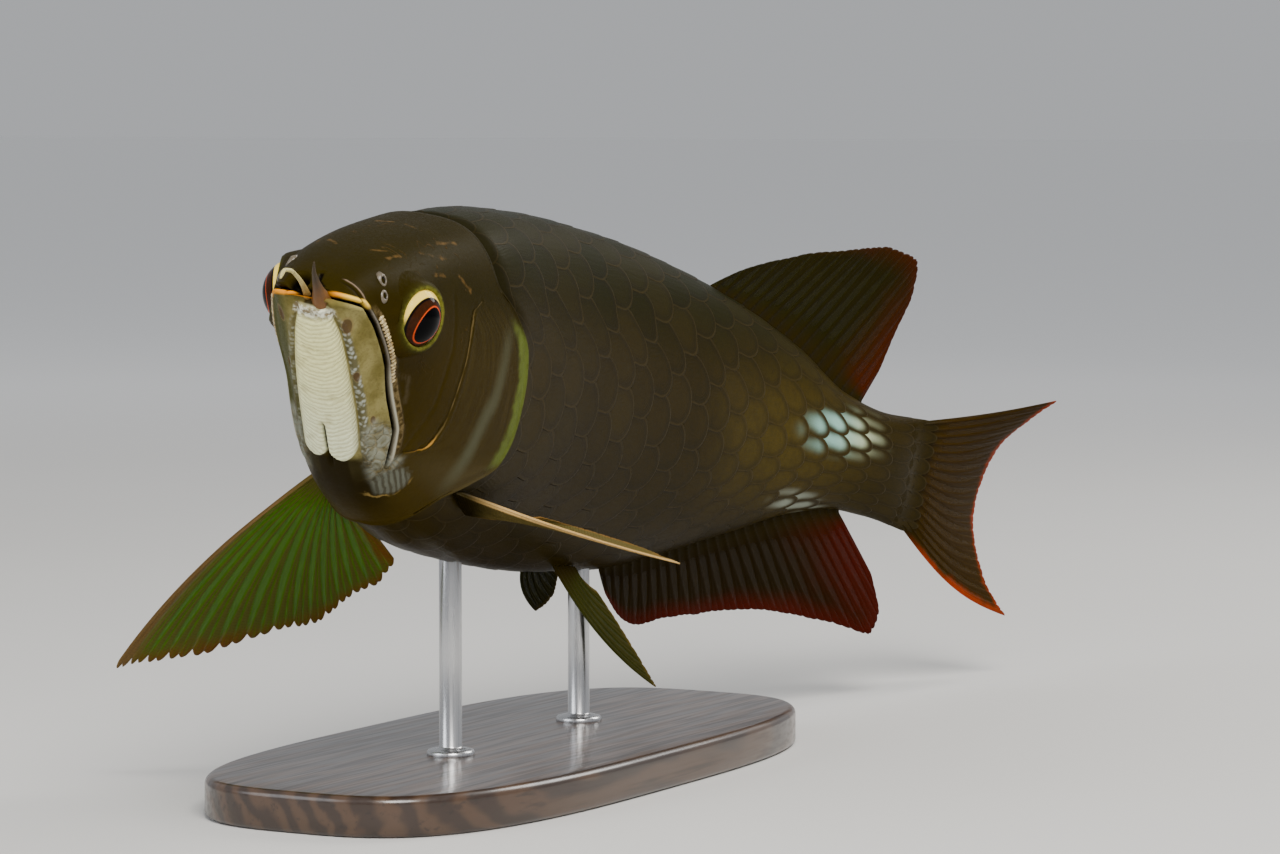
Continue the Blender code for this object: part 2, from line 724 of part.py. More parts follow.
def build_stand(pose, torso_front, torso_rear):
    """Flat rounded base, and two rods whose tops follow the belly."""
    feet = [pose @ place((s, 0, KEEL(s))) for s in ROD_STATIONS]
    middle = (feet[0] + feet[1]) / 2
    rings = []
    for height, inset in ((0, .0015), (.0015, 0), (BASE_HEIGHT - .002, 0),
                          (BASE_HEIGHT - .0006, .0006), (BASE_HEIGHT, .002)):
        ring = []
        for j in range(36):
            a = 2 * math.pi * j / 36
            c = math.copysign(abs(math.cos(a)) ** .62, math.cos(a))
            d = math.copysign(abs(math.sin(a)) ** .62, math.sin(a))
            ring.append(Vector((middle.x + c * (BASE_LENGTH / 2 - inset),
                                middle.y + d * (BASE_WIDTH / 2 - inset), height)))
        rings.append(ring)
    made = [loft("stand_base", rings, Vector((middle.x, middle.y, 0)),
                 Vector((middle.x, middle.y, BASE_HEIGHT)))]
    for foot, body, name in ((feet[0], torso_front, "stand_rod_front"),
                             (feet[1], torso_rear, "stand_rod_rear")):
        seen = BVHTree.FromPolygons([pose @ v.co for v in body.data.vertices],
                                    [tuple(p.vertices) for p in body.data.polygons])
        rings = [[], [], []]
        for j in range(18):
            a = 2 * math.pi * j / 18
            x = foot.x + ROD_RADIUS * math.cos(a)
            y = foot.y + ROD_RADIUS * math.sin(a)
            top = seen.ray_cast(Vector((x, y, BASE_HEIGHT)), Vector((0, 0, 1)))[0].z - GAP
            rings[0].append(Vector((x, y, BASE_HEIGHT + GAP)))
            rings[1].append(Vector((x, y, top)))
            near = (x + foot.x) / 2, (y + foot.y) / 2
            inner = seen.ray_cast(Vector((*near, BASE_HEIGHT)), Vector((0, 0, 1)))[0].z - GAP
            rings[2].append(Vector((*near, inner)))
        top = seen.ray_cast(Vector((foot.x, foot.y, BASE_HEIGHT)), Vector((0, 0, 1)))[0].z
        made.append(loft(name, rings, Vector((foot.x, foot.y, BASE_HEIGHT + GAP)),
                         Vector((foot.x, foot.y, top - GAP))))
    return made


def build():
    for obj in list(bpy.data.objects):
        bpy.data.objects.remove(obj)
    turn = Matrix.Rotation(math.radians(HEADING), 4, "Z")
    lift = Matrix.Rotation(math.radians(-NOSE_UP), 4, "Y")
    roll = Matrix.Rotation(math.radians(BANK), 4, "X")
    pose = Matrix.Translation((0, 0, SNOUT_HEIGHT)) @ turn @ lift @ roll

    head, jaw, eyes = build_head()
    torso_front, torso_rear, tail = build_torso()
    covers = []
    for side, name in ((1, "left"), (-1, "right")):
        covers.append(cover_plate("gill_cover_" + name, side, GAP, -0.2 * MM, COVER_THICK, 0))
    fins = build_median_fins(torso_rear, tail) + build_side_fins(torso_front, torso_rear)
    barbels = build_barbels(jaw)
    stand = build_stand(pose, torso_front, torso_rear)

    bronze = (.13, .105, .045)
    finish(head, "head_skin", (.16, .135, .065), .42)
    finish(jaw, "jaw_skin", (.24, .21, .11), .45)
    for eye in eyes:
        finish(eye, eye.name, (.05, .015, .01), .12)
    finish(torso_front, "shoulder_scales", bronze, .36)
    finish(torso_rear, "flank_scales", (.15, .12, .06), .36)
    finish(tail, "tail_scales", (.19, .16, .10), .36)
    for cover in covers:
        finish(cover, cover.name, (.30, .30, .10), .32)
    for fin in fins:
        colour = (.17, .14, .06) if "pec" in fin.name or "pel" in fin.name else (.20, .07, .04)
        finish(fin, fin.name, colour, .48)
    for barbel in barbels:
        finish(barbel, barbel.name, (.55, .42, .24), .5)
    finish(stand[0], "base_wood", (.045, .026, .016), .38)
    for rod in stand[1:]:
        finish(rod, rod.name, (.55, .55, .56), .28, 1.0)

    fish = bpy.data.objects.new("fish", None)
    bpy.context.scene.collection.objects.link(fish)
    fish.matrix_world = pose
    living = [head, jaw, torso_front, torso_rear, tail] + eyes + covers + fins + barbels
    corners = [pose @ v.co for obj in living for v in obj.data.vertices]
    corners += [v.co for obj in stand for v in obj.data.vertices]
    shift = Vector([-(min(c[k] for c in corners) + max(c[k] for c in corners)) / 2 for k in (0, 1)]
                   + [-min(c.z for c in corners)])
    for obj in living:
        obj.parent = fish
    fish.location = pose.translation + shift
    for obj in stand:
        obj.location = shift


build()
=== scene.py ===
"""Looks of the life-size asian arowana and its stand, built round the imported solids.

The body is drawn straight first, as the solids are: s runs back from the snout
in body lengths, turn runs from the back ridge, 0, to the keel, 1.
"""
import math

import bmesh
import bpy
import numpy as np
from mathutils import Matrix, Vector


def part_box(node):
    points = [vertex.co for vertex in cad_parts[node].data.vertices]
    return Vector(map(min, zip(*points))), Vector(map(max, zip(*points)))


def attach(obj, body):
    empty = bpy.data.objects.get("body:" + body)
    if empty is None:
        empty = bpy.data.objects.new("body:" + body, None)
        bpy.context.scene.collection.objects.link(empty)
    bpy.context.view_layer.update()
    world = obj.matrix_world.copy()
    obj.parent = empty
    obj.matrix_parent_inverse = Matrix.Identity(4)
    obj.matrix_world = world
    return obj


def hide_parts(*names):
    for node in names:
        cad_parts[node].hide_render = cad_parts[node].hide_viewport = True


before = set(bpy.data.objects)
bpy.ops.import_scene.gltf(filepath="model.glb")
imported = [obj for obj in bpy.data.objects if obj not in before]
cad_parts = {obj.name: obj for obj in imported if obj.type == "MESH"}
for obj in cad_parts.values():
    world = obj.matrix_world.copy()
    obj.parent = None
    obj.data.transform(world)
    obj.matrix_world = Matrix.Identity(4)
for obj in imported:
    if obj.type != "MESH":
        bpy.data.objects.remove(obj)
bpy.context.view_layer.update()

MM = 0.001
BODY_LENGTH = 0.500
# Millimetres in one body length.
SPAN = BODY_LENGTH / MM
# Attitude in degrees; the bend starts at a station and grows behind it.
HEADING = 12.5
NOSE_UP = 6.1
BANK = -10.3
BEND_FROM = 0.27
BEND_RATE = 1.023
BEND_EASE = 0.655
# The snout's height in metres; gap and fin roots in body lengths.
SNOUT_HEIGHT = 0.166
GAP_S = 0.3 / SPAN
FIN_ROOT = .007
# Step of the skin under the first scales, in mm.
SHOULDER_STEP = 1.3
# The left eye: its place and the reach of its swelling in body lengths, its lean as a slope,
# the rest in mm.
EYE_S = 0.076
EYE_Z = 0.0345
EYE_RADIUS = 12.0
EYE_STANDS_OUT = 4.6
EYE_LEAN = 0.36
EYE_SWELL = 3.3
SWELL_REACH = 0.021
SOCKET_RIM = 11.4
SOCKET_FLOOR = 9.8
SOCKET_DEPTH = 8.5
# The stand in metres, but for the rods' stations and the power that rounds its corners.
ROD_STATIONS = (0.37, 0.57)
ROD_RADIUS = 4.0 * MM
BASE_LENGTH = 0.300
BASE_WIDTH = 0.130
BASE_HEIGHT = 0.014
BASE_EDGE = 0.0028
BASE_CORNERS = 0.62
# Scales along the body, and round it from the back ridge to the keel.
SCALE_ROWS = 21
SCALE_COLUMNS = 10
# The camera fitted to the photograph: lens in mm, place in metres from the snout, axes.
LENS = 124.6885
CAMERA_FROM_SNOUT = (1.15914, .75329, .0725)
CAMERA_ROWS = ((-.47852, -.06135, .87593), (.87808, -.03361, .47734), (.00016, .99755, .06995))


# Numbers and curves

def curve(*stations):
    """Smooth curve through (place, value) stations that never overshoots."""
    xs = np.array([p[0] for p in stations], float)
    ys = np.array([p[1] for p in stations], float)
    steps = np.diff(xs)
    rises = np.diff(ys) / steps
    slopes = np.zeros(len(xs))
    for i in range(1, len(xs) - 1):
        if rises[i - 1] * rises[i] > 0:
            w1 = 2 * steps[i] + steps[i - 1]
            w2 = steps[i] + 2 * steps[i - 1]
            slopes[i] = (w1 + w2) / (w1 / rises[i - 1] + w2 / rises[i])
    slopes[0] = rises[0]
    slopes[-1] = rises[-1]

    def at(x):
        x = np.clip(np.asarray(x, float), xs[0], xs[-1])
        i = np.clip(np.searchsorted(xs, x, side="right") - 1, 0, len(xs) - 2)
        h = steps[i]
        t = (x - xs[i]) / h
        return ((1 + 2 * t) * (1 - t) ** 2 * ys[i] + t * (1 - t) ** 2 * h * slopes[i]
                + t * t * (3 - 2 * t) * ys[i + 1] + t * t * (t - 1) * h * slopes[i + 1])
    return at


def step(x, low, high):
    """Smooth rise from 0 at low to 1 at high."""
    t = np.clip((np.asarray(x, float) - low) / (high - low), 0, 1)
    return t * t * (3 - 2 * t)


def hill(x, width):
    """1 where x is 0, falling off on both sides."""
    return np.exp(-(np.asarray(x, float) / width) ** 2)


def between(t, a, b):
    return a + (b - a) * t


def unit(v):
    """Vectors made 1 long along their last axis."""
    return v / np.maximum(np.linalg.norm(v, axis=-1, keepdims=True), 1e-12)


def circle(count):
    """Even angles once round."""
    return np.linspace(0, 2 * np.pi, count, endpoint=False)


BACK = curve(
    (0, .037), (.006, .045), (.02, .054), (.05, .067), (.08, .077), (.12, .088), (.16, .097),
    (.2, .105), (.25, .112), (.3, .117), (.4, .121), (.5, .119), (.6, .111), (.7, .096), (.8, .072),
    (.885, .042), (.95, .033), (1, .034))
KEEL = curve(
    (0, .033), (.006, .026), (.02, .012), (.05, -.016), (.08, -.043), (.105, -.066), (.13, -.084),
    (.16, -.099), (.2, -.111), (.26, -.122), (.35, -.130), (.45, -.134), (.58, -.127), (.65, -.114),
    (.75, -.088), (.85, -.060), (.9, -.053), (.95, -.055), (1, -.061))
WIDTH = curve(
    (0, .014), (.006, .023), (.02, .0298), (.05, .0383), (.08, .044), (.12, .052), (.18, .059),
    (.25, .063), (.35, .062), (.45, .058), (.55, .051), (.65, .042), (.75, .031), (.85, .022),
    (.95, .014), (.98, .009), (1, .003))
WIDEST = curve(
    (0, .032), (.08, .032), (.15, .015), (.25, 0), (.4, -.005), (.7, -.005), (1, -.012))
FULL_UP = curve((0, 2.6), (.1, 2.8), (.25, 2.6), (.5, 2.2), (1, 2.0))
FULL_LOW = curve((0, 3.2), (.1, 3.0), (.16, 2.5), (.25, 2.1), (.5, 1.8), (.8, 1.7), (1, 2))
CLOSING = curve((0, .25), (.1, .25), (.2, .1), (.3, 0), (1, 0))
COVER_REAR = curve(
    (0, .193), (.15, .195), (.31, .204), (.36, .235), (.43, .270), (.5, .279), (.58, .281), (.64, .272),
    (.69, .240), (.76, .205), (.88, .188), (1, .183))
COVER_FRONT = curve((.33, .183), (.39, .158), (.6, .159), (.67, .152), (.73, .129), (.8, .127))
GAPE = ((-.03, .0365), (0, .0365), (.02, .035), (.036, .025), (.051, .013), (.066, .001),
        (.088, -.021), (.108, -.040), (.116, -.053), (.125, -.066))
GAPE_Z = curve(*GAPE[1:])
MOUTH_END = GAPE[-1][0]


def bend(s):
    """Angle in radians of the bent line of the body at station s."""
    t = np.maximum(s - BEND_FROM, 0)
    return BEND_RATE * t - BEND_EASE * t * t


_marks = np.linspace(-.1, 1.35, 5801)
_turns = bend(_marks)
_dx = -np.cos(_turns)
_dy = np.sin(_turns)
_half = (_marks[1] - _marks[0]) / 2
_line_x = np.concatenate([[0], np.cumsum((_dx[1:] + _dx[:-1]) * _half)])
_line_y = np.concatenate([[0], np.cumsum((_dy[1:] + _dy[:-1]) * _half)])
_line_x -= np.interp(0, _marks, _line_x)
_line_y -= np.interp(0, _marks, _line_y)

POSE = (Matrix.Rotation(math.radians(HEADING), 4, "Z")
        @ Matrix.Rotation(math.radians(-NOSE_UP), 4, "Y")
        @ Matrix.Rotation(math.radians(BANK), 4, "X"))
TURN = np.array(POSE.to_3x3())


def local(s, y, z):
    """Straight-body place to metres on the bent fish, before it is posed."""
    s, y, z = np.broadcast_arrays(np.asarray(s, float), y, z)
    b = bend(s)
    x0 = np.interp(s, _marks, _line_x)
    y0 = np.interp(s, _marks, _line_y)
    return np.stack([x0 + y * np.sin(b), y0 + y * np.cos(b), z], -1) * BODY_LENGTH


_feet = [local(s, 0, KEEL(s)) @ TURN.T for s in ROD_STATIONS]
_low, _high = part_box("stand_base")
_middle = (_feet[0] + _feet[1]) / 2
FISH_AT = np.array([(_low.x + _high.x) / 2 - _middle[0], (_low.y + _high.y) / 2 - _middle[1],
                    SNOUT_HEIGHT])


def posed(p):
    """Places on the bent fish in metres, turned and moved into the part's frame."""
    return p @ TURN.T + FISH_AT


def place(s, y, z):
    """Straight-body place to metres in the part's frame."""
    return posed(local(s, y, z))


def swell(s, z):
    """How far the head stands out round the eye, in body lengths."""
    away = (s - EYE_S) ** 2 + (z - EYE_Z) ** 2
    return EYE_SWELL / SPAN * np.exp(-away / (2 * SWELL_REACH ** 2))


def skin(s, turn, depth=0.0):
    """Straight-body (s, y, z) on the skin, or depth mm below it; a negative turn is on the right."""
    s, turn, depth = np.broadcast_arrays(np.asarray(s, float), turn, depth)
    side = np.sign(turn + 1e-12)
    c = np.cos(np.pi * turn)
    sn = np.abs(np.sin(np.pi * turn))
    n = np.where(c > 0, FULL_UP(s), FULL_LOW(s))
    h = np.where(c > 0, BACK(s) - WIDEST(s), WIDEST(s) - KEEL(s))
    r = (np.abs(c) ** n + sn ** n) ** (-1 / n)
    y = WIDTH(s) * r * sn * (1 - CLOSING(s) * np.maximum(-r * c, 0))
    z = h * r * c
    k = 1 - depth / (SPAN * np.hypot(y, z))
    z = WIDEST(s) + z * k
    return s, side * (y * k + sn * swell(s, z)), z


def flank(s, z):
    """Half width of the body at station s and height z."""
    s, z = np.broadcast_arrays(np.asarray(s, float), z)
    up = z > WIDEST(s)
    span = np.where(up, BACK(s) - WIDEST(s), WIDEST(s) - KEEL(s))
    t = np.minimum(np.abs(z - WIDEST(s)) / span, 1)
    n = np.where(up, FULL_UP(s), FULL_LOW(s))
    wide = (1 - t ** n) ** (1 / n)
    closed = np.where(up, 1, 1 - CLOSING(s) * t)
    return WIDTH(s) * wide * closed + swell(s, z) * wide / np.hypot(wide, t)


def stroke_distance(spots, strokes):
    """Shortest distance in mm from any of some strokes; spots and strokes are straight places."""
    best = np.full(spots.shape[:-1], 30.0)
    for stroke in strokes:
        stops = np.array(stroke) * SPAN
        for a, b in zip(stops, stops[1:]):
            way = b - a
            share = np.clip((spots - a) @ way / way.dot(way), 0, 1)
            best = np.minimum(best, np.linalg.norm(spots - a - share[..., None] * way, axis=-1))
    return best


def line_distance(s, z, line):
    """Distance in mm from a line in the side view, above it positive, and the way along it."""
    best = np.full(np.shape(s), 1e9)
    along = np.zeros(np.shape(s))
    gone = 0.0
    for (s0, z0), (s1, z1) in zip(line, line[1:]):
        ds, dz = s1 - s0, z1 - z0
        length = math.hypot(ds, dz)
        t = np.clip(((s - s0) * ds + (z - z0) * dz) / length ** 2, 0, 1)
        off = np.hypot(s - s0 - t * ds, z - z0 - t * dz)
        sign = np.where((z - z0) * ds - (s - s0) * dz >= 0, 1, -1)
        near = off < np.abs(best)
        best = np.where(near, off * sign, best)
        along = np.where(near, gone + t * length, along)
        gone += length
    return best * SPAN, along * SPAN


# Meshes

def add(name, data):
    """Object of some data, linked into the scene."""
    obj = bpy.data.objects.new(name, data)
    bpy.context.scene.collection.objects.link(obj)
    return obj


def set_shade(mesh, key, values):
    """Number or vector per point for the materials to read."""
    values = np.ascontiguousarray(values, np.float32)
    kind, slot = ("FLOAT_VECTOR", "vector") if values.ndim == 2 else ("FLOAT", "value")
    mesh.attributes.new(key, kind, "POINT").data.foreach_set(slot, values.ravel())


def set_map(mesh, uv):
    """OFBake map from one place per point."""
    corners = np.zeros(len(mesh.loops), np.int32)
    mesh.loops.foreach_get("vertex_index", corners)
    layer = mesh.uv_layers.new(name="OFBake")
    layer.data.foreach_set("uv", np.asarray(uv, np.float32)[corners].ravel())


def solid(name, points, faces, shades, uv=None):
    """Mesh object with outward faces, its shader attributes and an OFBake map."""
    mesh = bpy.data.meshes.new(name)
    mesh.from_pydata(np.asarray(points).tolist(), [], faces)
    mesh.update()
    for key, values in shades.items():
        set_shade(mesh, key, values)
    if uv is not None:
        set_map(mesh, uv)
    return outward(add(name, mesh))


def outward(obj):
    """Shades a closed mesh smooth and turns its faces outward."""
    obj.data.polygons.foreach_set("use_smooth", [True] * len(obj.data.polygons))
    work = bmesh.new()
    work.from_mesh(obj.data)
    bmesh.ops.recalc_face_normals(work, faces=work.faces)
    if work.calc_volume(signed=True) < 0:
        bmesh.ops.reverse_faces(work, faces=work.faces)
    work.to_mesh(obj.data)
    work.free()
    return obj


def grid_faces(rows, cols, closed):
    """Quads of a grid whose columns may close into a ring."""
    faces = []
    for i in range(rows - 1):
        for j in range(cols if closed else cols - 1):
            k = (j + 1) % cols
            faces.append((i * cols + j, i * cols + k, (i + 1) * cols + k, (i + 1) * cols + j))
    return faces


def sheet_faces(rows, cols):
    """Faces of a thin plate: a grid, its reversed copy and the strip round both."""
    n = rows * cols
    faces = grid_faces(rows, cols, False)
    faces += [tuple(k + n for k in face[::-1]) for face in faces]
    border = list(range(cols)) + [i * cols + cols - 1 for i in range(1, rows)]
    border += [(rows - 1) * cols + j for j in range(cols - 2, -1, -1)]
    border += [i * cols for i in range(rows - 2, 0, -1)]
    return faces + [(b, a, a + n, b + n) for a, b in zip(border, border[1:] + border[:1])]


def grid_uv(rows, cols):
    i, j = np.meshgrid(np.arange(rows), np.arange(cols), indexing="ij")
    return np.stack([(j + .5) / cols, (i + .5) / rows], -1).reshape(-1, 2)


def tube(name, rings, shades, tips=None):
    """Closed surface over rings of points, drawn together at its tips; shades are one per point."""
    rings = np.asarray(rings)
    rows, cols = rings.shape[:2]
    n = rows * cols
    if tips is None:
        tips = [rings[0].mean(0), rings[-1].mean(0)]
    points = np.concatenate([rings.reshape(n, 3), tips])
    faces = grid_faces(rows, cols, True)
    faces += [((j + 1) % cols, j, n) for j in range(cols)]
    faces += [(n - cols + j, n - cols + (j + 1) % cols, n + 1) for j in range(cols)]
    capped = {}
    for key, values in shades.items():
        flat = values.reshape(n, *values.shape[2:])
        capped[key] = np.concatenate([flat, flat[:1], flat[-1:]])
    return solid(name, points, faces, capped, np.concatenate([grid_uv(rows, cols), [[.5, 0], [.5, 1]]]))


def sweep(path, radii, sides):
    """Rings of a round section along a path."""
    ahead = unit(np.gradient(path, axis=0))
    angle = circle(sides)[:, None]
    normal = np.cross(ahead[0], [.3, .2, .9])
    rings = []
    for p, a, r in zip(path, ahead, radii):
        normal = unit(normal - a * normal.dot(a))
        rings.append(p + (np.cos(angle) * normal + np.sin(angle) * np.cross(a, normal)) * r)
    return np.array(rings)


def smooth_path(stops, count):
    """Evenly spread points of a smooth line through stops."""
    stops = np.asarray(stops, float)
    run = np.concatenate([[0], np.cumsum(np.linalg.norm(np.diff(stops, axis=0), axis=1))])
    at = np.linspace(0, run[-1], count)
    return np.stack([curve(*zip(run, stops[:, k]))(at) for k in range(3)], -1)


# Shaders

class Wire:
    """A shader socket that can stand in a Python sum."""

    def __init__(self, paint, socket):
        self.paint = paint
        self.socket = socket

    def __add__(self, other):
        return self.paint.math("ADD", self, other)

    def __sub__(self, other):
        return self.paint.math("SUBTRACT", self, other)

    def __rsub__(self, other):
        return self.paint.math("SUBTRACT", other, self)

    def __mul__(self, other):
        return self.paint.math("MULTIPLY", self, other)

    def __truediv__(self, other):
        return self.paint.math("DIVIDE", self, other)

    def __rtruediv__(self, other):
        return self.paint.math("DIVIDE", other, self)

    def __pow__(self, other):
        return self.paint.math("POWER", self, other)

    __radd__ = __add__
    __rmul__ = __mul__


class Paint:
    """A new material, with short ways to the nodes its finish needs."""

    def __init__(self, name, rough=.5, coat=0.0, metal=0.0, **constants):
        self.material = bpy.data.materials.new(name)
        self.material.use_nodes = True
        self.tree = self.material.node_tree
        self.shade = self.tree.nodes["Principled BSDF"]
        constants.update(Roughness=rough, Coat_Weight=coat, Metallic=metal)
        for key, value in constants.items():
            self.shade.inputs[key.replace("_", " ")].default_value = value

    def node(self, kind, settings, values, out=0):
        """Any node: its settings first, then the values or links of its sockets."""
        made = self.tree.nodes.new(kind)
        for key, value in settings.items():
            setattr(made, key, value)
        pairs = values.items() if isinstance(values, dict) else enumerate(values)
        for key, value in pairs:
            if isinstance(value, Wire):
                self.tree.links.new(value.socket, made.inputs[key])
            elif value is not None:
                made.inputs[key].default_value = value
        return Wire(self, made.outputs[out])

    def math(self, kind, *values):
        return self.node("ShaderNodeMath", {"operation": kind}, values)

    def feed(self, name, wire):
        self.tree.links.new(wire.socket, self.shade.inputs[name])

    def over(self, tone, *layers):
        """A tone under (share, colour) layers, the lowest first."""
        for share, colour in layers:
            tone = self.mix(share, tone, colour)
        return tone

    def lay(self, share, colour):
        """Lays a colour over the material's tone so far."""
        self.tone = self.mix(share, self.tone, colour)

    def value(self, name):
        return self.node("ShaderNodeAttribute", {"attribute_name": name}, [], "Fac")

    def values(self, names):
        return [self.value(name) for name in names.split()]

    def vector(self, name):
        return self.node("ShaderNodeAttribute", {"attribute_name": name}, [], "Vector")

    def place(self):
        return self.node("ShaderNodeTexCoord", {}, [], "Object")

    def parts(self, vector):
        split = self.tree.nodes.new("ShaderNodeSeparateXYZ")
        self.tree.links.new(vector.socket, split.inputs[0])
        return [Wire(self, out) for out in split.outputs]

    def join(self, x, y, z):
        return self.node("ShaderNodeCombineXYZ", {}, [x, y, z])

    def noise(self, vector, scale, detail=2.0, rough=.5, twist=0.0):
        return self.node("ShaderNodeTexNoise", {},
                         {"Vector": vector, "Scale": scale, "Detail": detail,
                          "Roughness": rough, "Distortion": twist}, "Fac")

    def cells(self, vector, scale, feature="F1", out="Distance"):
        return self.node("ShaderNodeTexVoronoi", {"feature": feature},
                         {"Vector": vector, "Scale": scale}, out)

    def ramp(self, wire, low, high, a=0.0, b=1.0):
        """Smooth rise of a value from a at low to b at high."""
        return self.node("ShaderNodeMapRange", {"interpolation_type": "SMOOTHSTEP"},
                         {"Value": wire, "From Min": low, "From Max": high,
                          "To Min": a, "To Max": b}, "Result")

    def band(self, wire, centre, width):
        """1 on a line where wire equals centre, fading to 0 over the width."""
        return self.ramp(self.math("ABSOLUTE", wire - centre), 0, width, 1, 0)

    def mix(self, share, a, b):
        made = self.tree.nodes.new("ShaderNodeMix")
        made.data_type = "RGBA"
        for key, value in (("Factor_Float", share), ("A_Color", a), ("B_Color", b)):
            socket = next(s for s in made.inputs if s.identifier == key)
            if isinstance(value, Wire):
                self.tree.links.new(value.socket, socket)
            else:
                socket.default_value = (*value, 1) if isinstance(value, tuple) else value
        out = next(s for s in made.outputs if s.identifier == "Result_Color")
        return Wire(self, out)

    def bump(self, height, distance, strength=1.0):
        self.feed("Normal", self.node("ShaderNodeBump", {},
                                      {"Height": height, "Distance": distance,
                                       "Strength": strength}))


# Low shine that lets the deep tones of the wet fish stay dark.
DAMP = {"IOR": 1.1, "Specular_IOR_Level": .3, "Specular_Tint": (1, .85, .5, 1)}


def body_tone(p, straight):
    """Body colour that the skin and the scales share, with a painted sheen over the rear flank, from
    the straight-body place in mm.
    """
    s, _, z = p.parts(straight)
    drift = p.noise(straight, .035, 3, .6)
    fine = p.noise(straight, .35, 3, .6)
    # glow is a painted sheen: a broad lighter patch on the rear flank, where light glances off the
    # body.
    glow = p.band(s + (drift - .5) * 30, 392, 92) * p.band(z, -4, 46)
    return p.over(p.mix(drift, (.0150, .0095, .0006), (.0250, .0165, .0008)),
                  (p.ramp(z + (drift - .5) * 16, 12, 52), (.0085, .0095, .0006)),
                  (p.ramp(z + (drift - .5) * 14, -34, -60), (.022, .0145, .0008)),
                  (glow * .6, (.090, .062, .006)),
                  (p.ramp(fine, .35, .75) * .3, (.009, .007, .002)))


def head_tone(p, straight):
    """Colour of the bare head, from the straight-body place in mm."""
    z = p.parts(straight)[2]
    drift = p.noise(straight, .09, 4, .6)
    fine = p.noise(straight, .5, 4, .65)
    return p.over(p.mix(drift, (.0135, .0100, .0006), (.0210, .0150, .0008)),
                  (p.ramp(z, 32, 2), (.030, .0190, .0008)),
                  (p.ramp(z, -8, -40) * .8, (.046, .030, .003)),
                  (p.ramp(fine, .45, .8) * .35, (.014, .009, .002)))


def gill_cover_layers(p, straight, drift, grain, soft):
    """Gill cover: a bluish band, then a lime one inside the free edge, pearly below."""
    _, y, z = p.parts(straight)
    cheek, gill = p.values("cheek gill")
    cover = p.ramp(cheek, 0, 1.5) * p.ramp(gill, .4, -.4) * p.value("cover")
    streaks = p.noise(p.join(gill * .5, y * .02, z * .05), 1, 2)
    p.lay(cover * p.ramp(streaks, .4, .7) * .35, (.050, .034, .005))
    blue = p.band(p.value("veil") + (drift - .5) * 4, 0, 7.5) * p.ramp(z, 24, 12) * cover
    p.lay(blue * p.ramp(z, 20, -26, .45, .8), (.078, .080, .045))
    lime = p.band(gill + (soft - .5) * 4 + (grain - .5) * 4, -5.5, 8.5)
    lime = p.ramp(lime * p.ramp(z, 26, 14) * p.ramp(z, -31, -23), .02, .75)
    p.lay(lime * p.ramp(soft, .2, .6, .6, .9), (.100, .130, .020))
    p.lay(cover * p.ramp(z, -22, -40) * .5, (.100, .084, .046))

    line = p.band(cheek, .5, .5) * p.ramp(p.noise(straight, .14, 2), .34, .6)
    p.lay(line * .6 * p.ramp(z, 34, 24), (.160, .112, .044))
    glint = p.band(cheek, .5, .6) * p.band(z, -22.8, 4.4) * p.ramp(y, 0, 3)
    p.lay(glint * .85, (.540, .270, .050))
    # Painted shade: a dark line in the groove along the gill cover's front edge.
    p.lay(p.band(cheek, -.3, .5) * .6, (.010, .007, .002))


def head_mark_layers(p, straight, grain, soft):
    """Short sensory lines that wander over the top of the head and round the eye."""
    s, _, z = p.parts(straight)
    worms = p.band(p.noise(straight, .075, 2, .5, .8), .5, .010) * p.value("head") * p.ramp(s, 84, 70)
    worms = worms * p.ramp(s, 24, 34) * p.ramp(z, -6, 8) * p.ramp(p.noise(straight, .16, 1), .52, .60)
    p.lay(worms * .3, (.110, .058, .014))
    marks = p.value("marks") + (soft - .5) * 3.4 + (grain - .5) * 1.2
    p.lay(p.ramp(marks, .9, -.2) * .6, (.130, .070, .018))
    canal = p.value("canal") + (soft - .5) * 3.4 + (grain - .5) * 1.4
    p.lay(p.ramp(canal, 1.6, -.4) * .26, (.110, .090, .060))
    return worms * .2


def lower_jaw_layers(p, straight, drift, grain):
    """Lower jaw: olive, a mottled silver ridge beside the cream strip, small pits, and painted shade on
    its far side.
    """
    s, y, _ = p.parts(straight)
    gular, jaw = p.values("gular jaw")
    # On the far side, y below -6 mm, the jaw is painted darker: painted shade.
    p.lay(jaw, p.over(p.mix(p.ramp(drift, .35, .65), (.150, .125, .035), (.260, .225, .085)),
                      (p.ramp(grain, .45, .75) * .45, (.100, .072, .022)),
                      (p.ramp(y, -6, -12) * .9, (.040, .044, .008))))
    ridge = p.ramp(gular, 1.02, 1.07) * p.ramp(gular, 1.34, 1.24) * jaw * p.ramp(s, 4, 9)
    # The silver ridge is dimmer on the far side: painted shade.
    ridge = ridge * p.ramp(y, -9, -3, .45, 1)
    grains = p.ramp(p.cells(straight, .62), .62, .15)
    p.lay(ridge * .9, p.mix(grains, (.110, .100, .052), (.400, .425, .360)))
    pore = p.value("pore")
    p.lay(p.ramp(pore, .85, 1.15, 1, 0) * .85, (.085, .048, .022))
    p.lay(p.band(pore, 1.15, .2) * .5 * jaw, (.240, .160, .070))
    return grains * ridge * .35


